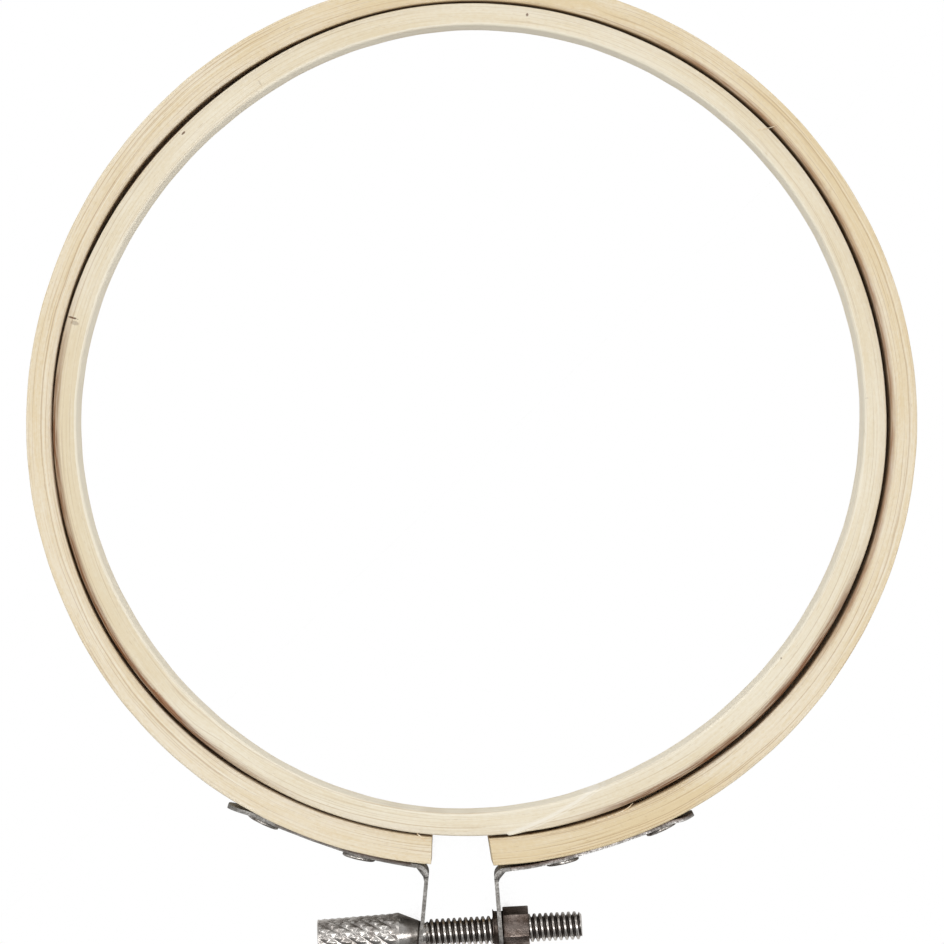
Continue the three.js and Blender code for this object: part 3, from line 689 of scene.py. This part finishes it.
# Flat pattern of the bracket as (along, across) points: a strip with a rounded tip, and round the ear's
# hole a web of spokes from the hole's edge to the ear's outline. The web shares the strip's last row.
def bracketPattern(tipCorner, earStart, holeAt, holeRadius, earCorner):
    half = strapWidth / 2
    across = np.linspace(-half, half, 29)
    early = tipCorner * (1 - np.cos(np.linspace(0, math.pi / 2, 9)))
    along = np.concatenate([early, np.arange(tipCorner + 0.35, earStart - 3.2, 0.35),
                            np.linspace(earStart - 3.0, earStart, 31)])
    inTip = np.clip(tipCorner - along, 0, None)
    halfAt = half - tipCorner + np.sqrt(tipCorner ** 2 - inTip ** 2)
    strip = np.stack([along[:, None] + 0 * across, halfAt[:, None] * across / half], -1).reshape(-1, 2)
    stripFaces = gridFaces(len(along), len(across))[0]
    start = earStart - holeAt
    bendSide = np.stack([np.full(len(across), start), across], -1)
    farSide = half - earCorner
    turns = np.radians(np.linspace(90, 0, 13))
    upper = np.stack([farSide + earCorner * np.cos(turns), farSide + earCorner * np.sin(turns)], -1)
    edge = np.stack([np.linspace(start, upper[0, 0], 14)[1:-1], np.full(12, half)], -1)
    lower = (upper * [1, -1])[::-1]
    outline = np.concatenate([bendSide, edge, upper, lower, (edge * [1, -1])[::-1]])
    spoke = unit(outline)
    steps = (np.linspace(0, 1, 9) ** 1.3)[:, None, None]
    web = spoke * holeRadius + steps * (outline - spoke * holeRadius)
    webFaces = gridFaces(len(steps), len(outline), wrapColumns=True, first=len(strip))[0]
    flat = np.concatenate([strip, (web + [holeAt, 0]).reshape(-1, 2)])
    shared = np.arange(len(flat))
    root = len(strip) + (len(steps) - 1) * len(outline)
    shared[root:root + len(across)] = np.arange(len(strip) - len(across), len(strip))
    used, quads = np.unique(shared[np.concatenate([stripFaces, webFaces])], return_inverse=True)
    return flat[used], quads.reshape(-1, 4)


def makeBracket(name, side, look):
    strap, bend, earPoint, earEnd = bracketLine(side, look)
    line = np.concatenate([strap, bend[1:], evenSteps(np.stack([bend[-1], earEnd]), 0.2)[1:]])
    reach = reachAlong(line)
    bendStart = reach[len(strap) - 1]
    earStart = reach[len(strap) + len(bend) - 2]
    holeAt = earStart + np.linalg.norm(earPoint - bend[-1])
    flat, quads = bracketPattern(look["tipCorner"], earStart, holeAt, look["earHole"][side],
                                 look["earCorner"])
    place = pointsAt(flat[:, 0], reach, line)
    low, high = bendStart - look["gussetLeg"], earStart + look["gussetLeg"]
    ends = pointsAt([low, high], reach, line)
    part = np.clip((flat[:, 0] - low) / (high - low), 0, 1)[:, None]
    chord = ends[0] + part * (ends[1] - ends[0])
    pressed = (1 - ramp(np.abs(flat[:, 1]), 0, look["gussetWidth"] / 2))[:, None]
    inBend = ((flat[:, 0] > low) & (flat[:, 0] < high))[:, None]
    place = place + np.where(inBend, pressed * (chord - place), 0)
    mirror = 1 if side else -1
    points = np.stack([mirror * place[:, 0], place[:, 1], midHeight + flat[:, 1]], -1)
    shell, faces, cut = thickened(points, quads, sheet)
    piece = makePiece(name, shell, faces, platedSheet)
    along = np.tile(flat[:, 0], 2)
    onStrap = along < bendStart - look["shadeEnd"]
    # Painted shade: dark on the cut edges, partly the sheared steel's duller colour, and brown on the side
    # against the wood
    write(piece, "paintedShade", cut * np.where(onStrap, look["cutEdgeDark"][side], 1.0))
    ringSide = np.hypot(shell[:, 0], shell[:, 1]) < np.tile(np.hypot(points[:, 0], points[:, 1]), 2)
    write(piece, "woodSide", ringSide & onStrap & (along > look["shadeFrom"][side]))
    soft = piece.modifiers.new("softEdges", "BEVEL")
    soft.width = look["edge"] * metres
    soft.segments = 3
    soft.limit_method = "ANGLE"
    soft.angle_limit = math.radians(look["edgeAngle"])
    piece.modifiers.new("evenNormals", "WEIGHTED_NORMAL")
    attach(piece, "outer_right" if side else "outer_left")
    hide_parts("bracket_right" if side else "bracket_left")
    return strap


leftStrap = makeBracket("bracketLeft", 0, bracket)
rightStrap = makeBracket("bracketRight", 1, bracket)
print("brackets made")


# Depth of the grain below the outer face, swung by a damped wave about a knot that fades towards both faces
def swung(depth, angle, knot):
    at, reach, swing = knot
    away = (angle - at) / reach
    inWood = ramp(depth, 0.0, 0.7) * (1 - ramp(depth, 2.5, 3.2))
    return depth + swing * inWood * np.exp(-away ** 2) * np.sin(3.2 * away + 1.1 * depth)


# Writes what the bamboo reads beside the grain's place: painted brown shade on the worn front edge, fading
# with the distance from the gap, painted brown shade on the wall at the gap, yellow patches, and painted
# light that makes a wall paler
def writeTones(piece, look, names, wall, angle, height, front, fromGap, worn, paintedWallLight=0.0, points=0):
    base, more, near, far = look["shadeBrown"]
    low, less, start, end = gapShadeBrown
    # Painted shade: brown on the front edge near the gap, and on the wall at the gap, less towards the front
    shadeBrown = front * (1 - ramp(fromGap, near, far)) * (base + more * worn)
    shadeBrown = shadeBrown + (names == wall)[:, None] * (low - less * ramp(height, start, end))
    # The yellow patches are the wood's own tone; the last term taken off is painted light that makes a wall
    # paler
    tone = sum(by * span(angle, *ends) for *ends, by in look["yellow"]) - paintedWallLight + 0 * height
    for name, values in (("edgeShadeBrown", shadeBrown), ("strawToneAndLight", tone)):
        write(piece, name, np.append(values.ravel(), [0] * points))


# Outer ring: both sawn ends, the seats of the straps and the sinks for the rivets' feet
def makeOuterRing(look):
    mean = (look["outside"][0] + look["inside"][0]) / 2
    whole = 2 * math.pi
    reach = 40 / mean           # of the finer steps at each end, as an angle
    near = np.append(np.array([0, 0.01, 0.03, 0.06, 0.09, 0.14]) / mean, np.linspace(0, reach, 134))
    coarse = np.linspace(reach, whole - reach, 380)[1:-1]
    turn = np.unique(np.concatenate([near, coarse, whole - near]))
    share = turn / whole
    room = 4                    # degrees from the middle of the split to each end, roughly
    angle = splitAngle + room + share * (360 - 2 * room)
    outside = unround(angle, look["outside"]) + waver(angle, look["waver"][0], 1.0)
    inside = unround(angle, look["inside"]) + waver(angle, look["waver"][1], 2.0)
    worn = span(angle, *look["worn"], 9.0)
    ease = look["ease"] * (1 + 0.35 * np.sin(np.radians(5 * angle + 40)))
    frontInner = ease + (look["wornEase"] - ease) * worn
    radius, height, names = ringSection(inside, outside, [ease, ease, ease, frontInner],
                                        innerHeights, outerHeights)
    seat = np.minimum(strapRadius(rightStrap, angle),
                      strapRadius(leftStrap * [-1, 1], np.where(angle > 90, angle - 360, angle)))
    sunk = np.clip(outside - (seat - sheet / 2 - strapPlay), 0, None)
    radius = radius - sunk * ((names == "side1")[:, None] & (height > seatLow) & (height < seatHigh))
    gapWall = (names == "side3")[:, None]
    deep, flat, rim = look["sink"]
    for arc in (-rivetArcs[0][0], -rivetArcs[0][1], *rivetArcs[1]):
        away = (angle - splitAngle - math.degrees(arc / nominalRadius) + 180) % 360 - 180
        distance = np.hypot(np.radians(away) * inside, height - midHeight)
        radius = radius + gapWall * deep * (1 - ramp(distance, flat, rim))
    closer = sum(by * span(angle, low, high, 3.0) for low, high, by in look["touching"])
    low, lowFull, highFull, high = look["ledge"]
    radius = radius - closer * gapWall * (1 - ramp(height, highFull, high)) * ramp(height, low, lowFull)
    fromEnd = np.minimum(turn, whole - turn) * mean
    endEase = look["endEase"]
    inset = endEase - np.sqrt(np.clip(endEase ** 2 - np.clip(endEase - fromEnd, 0, None) ** 2, 0, None))
    depth = swung(outside - radius, angle, look["knot"])
    middle = (inside + outside) / 2
    radius = radius - inset * np.clip((radius - middle) / (0.5 * (outside - inside)), -1, 1)
    height = height - inset * np.clip((height - midHeight) / midHeight, -1, 1)
    first = splitAngle + sawnAngle(radius, height, 1, look)
    last = splitAngle + 360 - sawnAngle(radius, height, 0, look)
    points = asPoints(radius, first + share * (last - first), height).reshape(-1, 3)
    rows, columns = radius.shape
    faces, rowAt, columnAt = gridFaces(rows, columns, wrapRows=True)
    loops = [np.arange(rows) * columns, (np.arange(rows) * columns + columns - 1)[::-1]]
    caps = [fanFaces(loop, rows * columns + end) for end, loop in enumerate(loops)]
    points = np.concatenate([points, [points[loop].mean(0) for loop in loops]])
    piece = makePiece("outerRing", points, [faces, *caps], outerBamboo)
    place = np.stack([share * whole * look["grainRadius"] + 0 * radius, depth, height], -1)
    flatPlace = place.reshape(-1, 3)
    flatPlace = np.concatenate([flatPlace, [flatPlace[loop].mean(0) for loop in loops]])
    places = [place[rowAt % rows, columnAt], *(flatPlace[cap] for cap in caps)]
    write(piece, "grainPlace", np.concatenate([part.reshape(-1, 3) for part in places]),
          "FLOAT_VECTOR", "CORNER")
    front = (names == "corner3")[:, None] | ((names == "side2")[:, None] & (depth > 2.6))
    writeTones(piece, look, names, "side3", angle, height, front, radius - inside, worn, points=2)
    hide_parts("outer_ring_left", "outer_ring_right")
    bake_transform(piece)


# Inner ring: closed, with the scarf joint of its strip to the right of the split
scarf = {
    "start": -83.3,             # degrees, where the joint's tip lies on the outer face
    "end": -70.2,               # where it comes out on the inner face
    "tipLift": 0.2,
    "seam": -88.0,              # where the mesh closes, inside the split
    "clear": -66.0,             # past the whole joint
}


def makeInnerRing(look, joint):
    seam, start, end, clear = (joint[key] for key in ("seam", "start", "end", "clear"))
    angle = np.append(np.linspace(seam, clear, 200), np.linspace(clear, seam + 360, 440)[1:-1])
    outside = unround(angle, look["outside"]) + waver(angle, look["waver"][0], 3.0)
    inside = unround(angle, look["inside"]) + waver(angle, look["waver"][1], 5.0)
    tip = ramp(angle, start - 0.35, start - 0.1) * (1 - ramp(angle, start, start + 2.6))
    worn = span(angle, *look["worn"][0], 8.0) + span(angle, *look["worn"][1], 12.0)
    ease = look["ease"] + 0 * angle
    frontOuter = (ease + (look["wornEase"] - ease) * worn) * (1 - 0.5 * tip)
    radius, height, names = ringSection(inside, outside + joint["tipLift"] * tip,
                                        [ease, ease, frontOuter, ease * 1.3], plainHeights, plainHeights)
    rows, columns = radius.shape
    faces, rowAt, columnAt = gridFaces(rows, columns, wrapRows=True, wrapColumns=True)
    points = asPoints(radius, angle, height).reshape(-1, 3)
    piece = makePiece("innerRing", points, [faces], innerBamboo)
    along = np.radians(np.append(angle - seam, 360)) * look["grainRadius"]
    depth = swung(outside - radius, angle, look["knot"])
    at = rowAt % rows, columnAt % columns
    place = np.stack([along[columnAt], depth[at], height[at]], -1)
    write(piece, "grainPlace", place, "FLOAT_VECTOR", "CORNER")
    off = radius - (outside - (angle - start) / (end - start) * (outside - inside))
    before = np.where(angle < clear, -off, -1.0)
    write(piece, "scarfSide", np.where(columnAt == columns, -1.0, before[at]), "FLOAT", "CORNER")
    front = (names == "corner2")[:, None] | ((names == "side2")[:, None] & (radius > outside - 1.6))
    # Painted light: the inner wall and its inner top edge are made paler, as if better lit
    paintedWallLight = 0.4 * ((names == "side3") | (names == "corner3"))[:, None]
    writeTones(piece, look, names, "side1", angle, height, front * (1 - tip), outside - radius, worn, paintedWallLight)
    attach(piece, "inner")
    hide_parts("inner_ring")


# Loose fibre: a thin tube that tapers to both ends, carried along a curve through a few points. Its
# radius is the fibre's times the root of a sine along it. Its rings turn the other way, so its faces are
# reversed.
def makeFibre(name, body, slot, radius, way):
    steps = np.linspace(0, 1, 40)
    angle, away, level = pointsAt(steps, np.linspace(0, 1, len(way)), np.array(way, float)).T
    line = softened(asPoints(away, angle, level), 4)
    ahead = unit(np.gradient(line, axis=0))
    side = unit(np.cross(ahead, [0.0, 0.0, 1.0]))
    upward = np.cross(side, ahead)
    thick = radius * np.sqrt(np.sin(math.pi * (0.02 + 0.96 * steps)))[:, None, None]
    spin = (np.arange(8) * math.pi / 4)[None, :, None]
    points = line[:, None] + thick * (np.cos(spin) * side[:, None] + np.sin(spin) * upward[:, None])
    points = np.concatenate([points.reshape(-1, 3), line[[0, -1]]])
    piece = makePiece(name, points, [faces[:, ::-1] for faces in tubeFaces(len(line), 8)], fibreBamboo)
    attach(piece, body)


makeOuterRing(outerRing)
makeInnerRing(innerRing, scarf)

# Name, body, slot, radius and way: a list of angle, radius and height
for fibre in (
        ("leftEndFibre", "outer_left", "outer_bamboo", 0.11,
         [(263.9, 57.2, 7.85), (264.4, 57.55, 8.0), (265.0, 57.95, 7.95), (265.3, 58.3, 7.9)]),
        ("rightEdgeFibre", "outer_right", "outer_bamboo", 0.09,
         [(-72.5, 57.7, 7.9), (-70.5, 57.72, 8.0), (-68.0, 57.66, 8.0), (-66.5, 57.5, 8.0),
          (-65.6, 57.1, 7.95)]),
        ("upperFibre", "inner", "inner_bamboo", 0.05,
         [(45.3, 59.0, 8.05), (45.7, 58.0, 8.1), (46.1, 57.3, 8.06), (46.9, 56.2, 8.0)])):
    makeFibre(*fibre)
print("rings made")


# Turned shapes: rings of points about the X axis, one row per station: the radius may change round each ring
def turnedPoints(stations, radius):
    turn = np.arange(radius.shape[1]) * 2 * math.pi / radius.shape[1]
    points = np.stack([stations[:, None] + 0 * radius, radius * np.cos(turn), radius * np.sin(turn)], -1)
    return points.reshape(-1, 3)


# The same with both ends closed by a fan
def turnedShell(stations, radius):
    ends = [[stations[0], 0, 0], [stations[-1], 0, 0]]
    return np.concatenate([turnedPoints(stations, radius), ends]), tubeFaces(*radius.shape)


# Lays a shape made along X on a direction in the plane, from a point at mid height, tilted a little
def laid(points, at, degrees):
    c, s = math.cos(math.radians(degrees)), math.sin(math.radians(degrees))
    turned = np.stack([points[:, 0] * c - points[:, 1] * s, points[:, 0] * s + points[:, 1] * c,
                       points[:, 2]], -1)
    return turned + np.array([at[0], at[1], midHeight])


rivet = {
    "headRadius": 2.3, "headHeight": 0.55, "shankRadius": 0.9, "footRadius": 1.55, "footDepth": 0.35,
    "cocked": {"LeftNear": 2.5, "LeftFar": -2.0, "RightNear": -2.5, "RightFar": 3.0},   # degrees
}


# Rivet: a low pan head with a rounded rim, a shank, and a foot that is rolled over like a small rim
def makeRivet(name, side, arc, strap, look):
    sign = 1 if side else -1
    line = strap * [sign, 1]
    turn = arc / nominalRadius
    at = np.argmin(np.abs(np.arctan2(np.abs(line[:, 0]), -line[:, 1]) - turn))
    ahead = line[min(at + 8, len(line) - 1)] - line[max(at - 8, 0)]
    outward = unit(np.array([ahead[1], -ahead[0]]))
    outward = outward * np.sign(outward @ line[at])
    seat = line[at] + outward * (sheet / 2 + 0.02)
    wood = unround(math.degrees(math.atan2(seat[1], seat[0])), outerRing["inside"])
    depth = float(np.hypot(*seat) - wood) - 0.15
    r, h = look["headRadius"], look["headHeight"]
    foot = look["footDepth"] - depth
    corners = [(-depth, 0.02), (-depth, look["footRadius"]), (foot, look["footRadius"]),
               (foot, look["shankRadius"]),
               (0, look["shankRadius"]), (0, r - 0.08), (h * 0.3, r), (h * 0.75, r), (h, r - 0.25),
               (h, r * 0.5), (h * 0.93, r * 0.3), (h * 0.93, 0.02)]
    profile = softened(evenSteps(np.array(corners, float), 0.04), 2)
    radius = np.repeat(np.clip(profile[:, 1:2], 0.01, None), 48, 1)
    points, faces = turnedShell(profile[:, 0], radius)
    heading = math.degrees(math.atan2(outward[1], outward[0])) + look["cocked"][name]
    piece = makePiece("rivet" + name, laid(points, seat, heading), faces, rivetSteel)
    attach(piece, "outer_right" if side else "outer_left")
    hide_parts("rivet_%s_%s" % ("right" if side else "left", "far" if arc > 20 else "near"))


for side, (label, strap) in enumerate((("Left", leftStrap), ("Right", rightStrap))):
    for arc, place in zip(rivetArcs[side], ("Near", "Far")):
        makeRivet(label + place, side, arc, strap, rivet)
print("rivets made")


screw = {
    "at": (-4.48784, -71.07926),
    "crest": 1.95, "pitch": 0.794, "depth": 0.46, "length": 21.6, "tipChamfer": 0.45,
    "cone": 3.7, "head": 11.3, "baseRadius": 3.08, "tipRadius": 2.75, "neck": 1.43,
    "knurlCount": 13, "knurlPitch": 2.0, "knurlDepth": (0.24, 0.19),
}


# Height of a triangle wave with its peaks and valleys cut flat, from 0 to 1, once per turn of its argument
def cutWave(value, sharp, middle=0.5):
    return np.clip(0.5 + sharp * (np.abs((value % 1) - 0.5) * 2 - middle), 0, 1)


# Thread: the crest's radius less a wave that climbs one pitch per turn, kept inside a tapered envelope
def threadShell(look):
    steps = np.arange(-0.25, look["length"], look["pitch"] / 16)
    stations = np.concatenate([[-0.3], steps, [look["length"]]])
    wave = cutWave(stations[:, None] / look["pitch"] - np.arange(96) / 96, 1.55, 0.42)
    wave = wave * wave * (3 - 2 * wave)
    root = look["crest"] - look["depth"]
    radius = root + look["depth"] * wave
    start = root + np.clip(stations, 0, None) / look["pitch"] * (look["depth"] + 0.1)
    tip = look["crest"] + (look["length"] - stations) - look["tipChamfer"]
    envelope = np.minimum(np.minimum(start, tip), look["crest"])[:, None]
    # The last array is painted shade in the thread, darkest at the root
    return *turnedShell(stations, np.minimum(radius, envelope)), np.append((1 - wave).ravel(), [0.5, 0.5])


# Head: a taper less the deeper of two crossing waves that wind opposite ways, then a smooth cone down to
# the neck
def headShell(look):
    base = -look["cone"]
    free = base - look["head"]
    stations = np.concatenate([[free, free + 0.04, free + 0.11], np.linspace(free + 0.2, base - 0.15, 96),
                               [base], np.linspace(base + 0.12, 0.5, 12)])
    taper = np.interp(stations, [free, base], [look["tipRadius"], look["baseRadius"]])
    cone = np.interp(stations, [base - 0.05, 0.0], [look["baseRadius"], look["neck"]])
    body = np.minimum(taper, cone)
    body[:3] -= [0.3, 0.16, 0.05]       # rounding of the free end
    turn = np.arange(168) / 168 * look["knurlCount"]
    along = stations[:, None] / look["knurlPitch"]
    first, second = cutWave(turn - along, 0.9), cutWave(turn + along, 0.9)
    here = ramp(stations, free + 0.1, free + 0.3) * (1 - ramp(stations, base - 1.3, base))
    deep, shallow = look["knurlDepth"]
    cut = np.maximum(deep * (1 - first), shallow * (1 - second)) * here[:, None]
    # Painted shade: dark in the knurl's grooves and on the cone towards the neck
    dark = np.maximum(cut / deep, 0.8 * ramp(stations, -1.6, -0.4)[:, None])
    return *turnedShell(stations, body[:, None] - cut), np.append(dark.ravel(), [0, 1])


def makeScrew(look):
    threadPoints, threadFaces, threadDark = threadShell(look)
    headPoints, headFaces, headDark = headShell(look)
    points = np.concatenate([threadPoints, headPoints])
    faces = threadFaces + [group + len(threadPoints) for group in headFaces]
    piece = makePiece("clampScrew", laid(points, look["at"], screwSlope), faces, nickelScrew)
    # Painted shade for the thread's roots and for the head's grooves and neck
    write(piece, "paintedShade", np.concatenate([0.9 * threadDark, 0.5 * headDark]))
    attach(piece, "screw")
    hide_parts("clamp_screw")


nut = {
    "at": (6.19207, -70.24811), "corner": 3.26, "length": 3.55, "turn": 15.0, "bore": 2.15, "edge": 0.12,
    "dome": 0.13,
    "collar": 2.55, "earRoom": 0.72, "flare": 2.88, "flareLength": 0.7, "lip": 0.15,
}


# Nut: rings that follow a hexagon or a circle, from the flare's lip along the outside and back through
# the bore. A hexagon's radius is its flat's distance over the cosine of the angle from the flat, less a
# dome that grows with the square of that angle.
def makeNut(look):
    turn = np.arange(144) * 2.5
    across = (turn - 90 - look["turn"]) % 60 / 30 - 1
    flat = look["corner"] * math.cos(math.radians(30))
    hexagon = flat / np.cos(np.radians(30 * across)) - look["dome"] * across ** 2
    length, edge, collar, bore = (look[key] for key in ("length", "edge", "collar", "bore"))
    flare, lip = look["flare"], look["lip"]
    start = -look["earRoom"]
    end = start - look["flareLength"]
    inset = hexagon - edge * 0.9
    rings = [(end + 0.04, flare - lip), (end, flare - lip / 2), (end + 0.05, flare),
             (end + 0.16, collar + 0.12), (end + 0.22, collar + 0.04), (start - 0.05, collar + 0.02),
             (start, collar), (0.01, collar), (0.0, inset - 0.15), (0.0, inset),
             (edge * 0.35, hexagon - edge * 0.3), (edge, hexagon), (length - edge, hexagon),
             (length - edge * 0.35, hexagon - edge * 0.3), (length, inset), (length, inset - 0.15),
             (length, bore + 0.3), (length - 0.08, bore + 0.06), (length - 0.2, bore), (start, bore),
             (end * 0.5 + start * 0.5, bore + 0.25)]
    stations = np.array([at for at, _ in rings])
    radius = np.stack([values * np.ones(len(turn)) for _, values in rings])
    faces = gridFaces(*radius.shape, wrapRows=True, wrapColumns=True)[0]
    points = laid(turnedPoints(stations, radius), look["at"], screwSlope)
    piece = makePiece("clampNut", points, [faces], nickelNut)
    piece.modifiers.new("evenNormals", "WEIGHTED_NORMAL")
    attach(piece, "outer_right")
    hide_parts("clamp_nut")


makeScrew(screw)
makeNut(nut)
print("screw and nut made")


# Stage: a pale floor, soft boxes above, on each side and beyond the hoop, and a world that is darkest low
# down on the screw's side

def makeFloor():
    mesh = bpy.data.meshes.new("floor")
    mesh.from_pydata([(-3, -3, 0), (3, -3, 0), (3, 3, 0), (-3, 3, 0)], [], [(0, 1, 2, 3)])
    floor = newObject("floor", mesh)
    floor.location = (0, 0, -0.0001)
    material, tree, shader = newMaterial("palePaper")
    tree.fill(shader.inputs, {"Base Color": (0.9, 0.9, 0.9, 1), "Roughness": 0.9})
    path = tree.add("ShaderNodeLightPath").outputs
    open_ = tree.add("ShaderNodeAmbientOcclusion", {"Distance": 0.012}, samples=20).outputs["AO"]
    shiny = path["Is Glossy Ray"]
    seen = tree.plus(path["Is Camera Ray"], path["Is Transmission Ray"], shiny, clamp=True)
    # The floor glows white to the camera; where the AO finds it enclosed, as in the gap between the rings, it
    # glows a painted dark brown shade, and to glossy rays it glows dimmer near the object, a painted shadow
    shade = tree.mix(tree.remap(open_, 0.08, 0.2), (0.07, 0.02, 0.004, 1), (1, 1, 1, 1))
    dimmed = tree.mix(tree.remap(open_, 0.2, 0.85), (0.06, 0.05, 0.04, 1), (0.85, 0.85, 0.85, 1))
    glow = tree.add("ShaderNodeEmission", {"Color": tree.mix(shiny, shade, dimmed), "Strength": 1.0})
    both = tree.add("ShaderNodeMixShader", {0: seen, 1: shader.outputs[0], 2: glow.outputs[0]})
    tree.feed(both.outputs[0], tree.nodes["Material Output"].inputs[0])
    mesh.materials.append(material)


def makeLamp(name, place, aim, size, watts):
    data = bpy.data.lights.new(name, "AREA")
    data.shape = "RECTANGLE"
    data.size, data.size_y = size
    data.energy = watts
    lamp = newObject(name, data)
    lamp.location = place
    lamp.rotation_euler = (Vector(aim) - Vector(place)).to_track_quat("-Z", "Y").to_euler()


def makeWorld():
    world = bpy.data.worlds.new("studio")
    bpy.context.scene.world = world
    world.use_nodes = True
    tree = Tree(world.node_tree)
    direction = tree.add("ShaderNodeTexCoord").outputs["Generated"]
    _, ahead, up = tree.add("ShaderNodeSeparateXYZ", {0: direction}).outputs
    overhead = tree.remap(up, 0.7, 0.95, 0.0, 0.3)
    level = tree.remap(ahead, -0.8, 0.8, 0.12, 0.75)
    higher = tree.remap(ahead, -0.8, 0.4, 0.26, 0.46)
    shade = tree.plus(tree.remap(up, 0.0, 0.5, level, higher), overhead)
    seen = tree.add("ShaderNodeLightPath").outputs["Is Camera Ray"]
    shade = tree.math("MAXIMUM", shade, seen)
    color = tree.add("ShaderNodeCombineColor", {0: shade, 1: shade, 2: shade}).outputs[0]
    tree.fill(world.node_tree.nodes["Background"].inputs, {"Color": color, "Strength": 1.0})


makeFloor()
# Place, aim, size and watts
for name, lamp in {"topBox": ((0.0, -0.16, 1.3), (0, -0.03, 0), (0.7, 0.4), 4.0),
                   "leftBox": ((-0.75, 0.1, 0.75), (0, 0, 0), (0.26, 0.6), 1.55),
                   "rightBox": ((0.75, -0.05, 0.75), (0, 0, 0), (0.26, 0.6), 1.55),
                   "farBox": ((0.0, 0.7, 0.8), (0, -0.06, 0), (0.9, 0.24), 1.1)}.items():
    makeLamp(name, *lamp)
makeWorld()
bpy.context.scene.view_settings.view_transform = "Standard"
print("stage made")
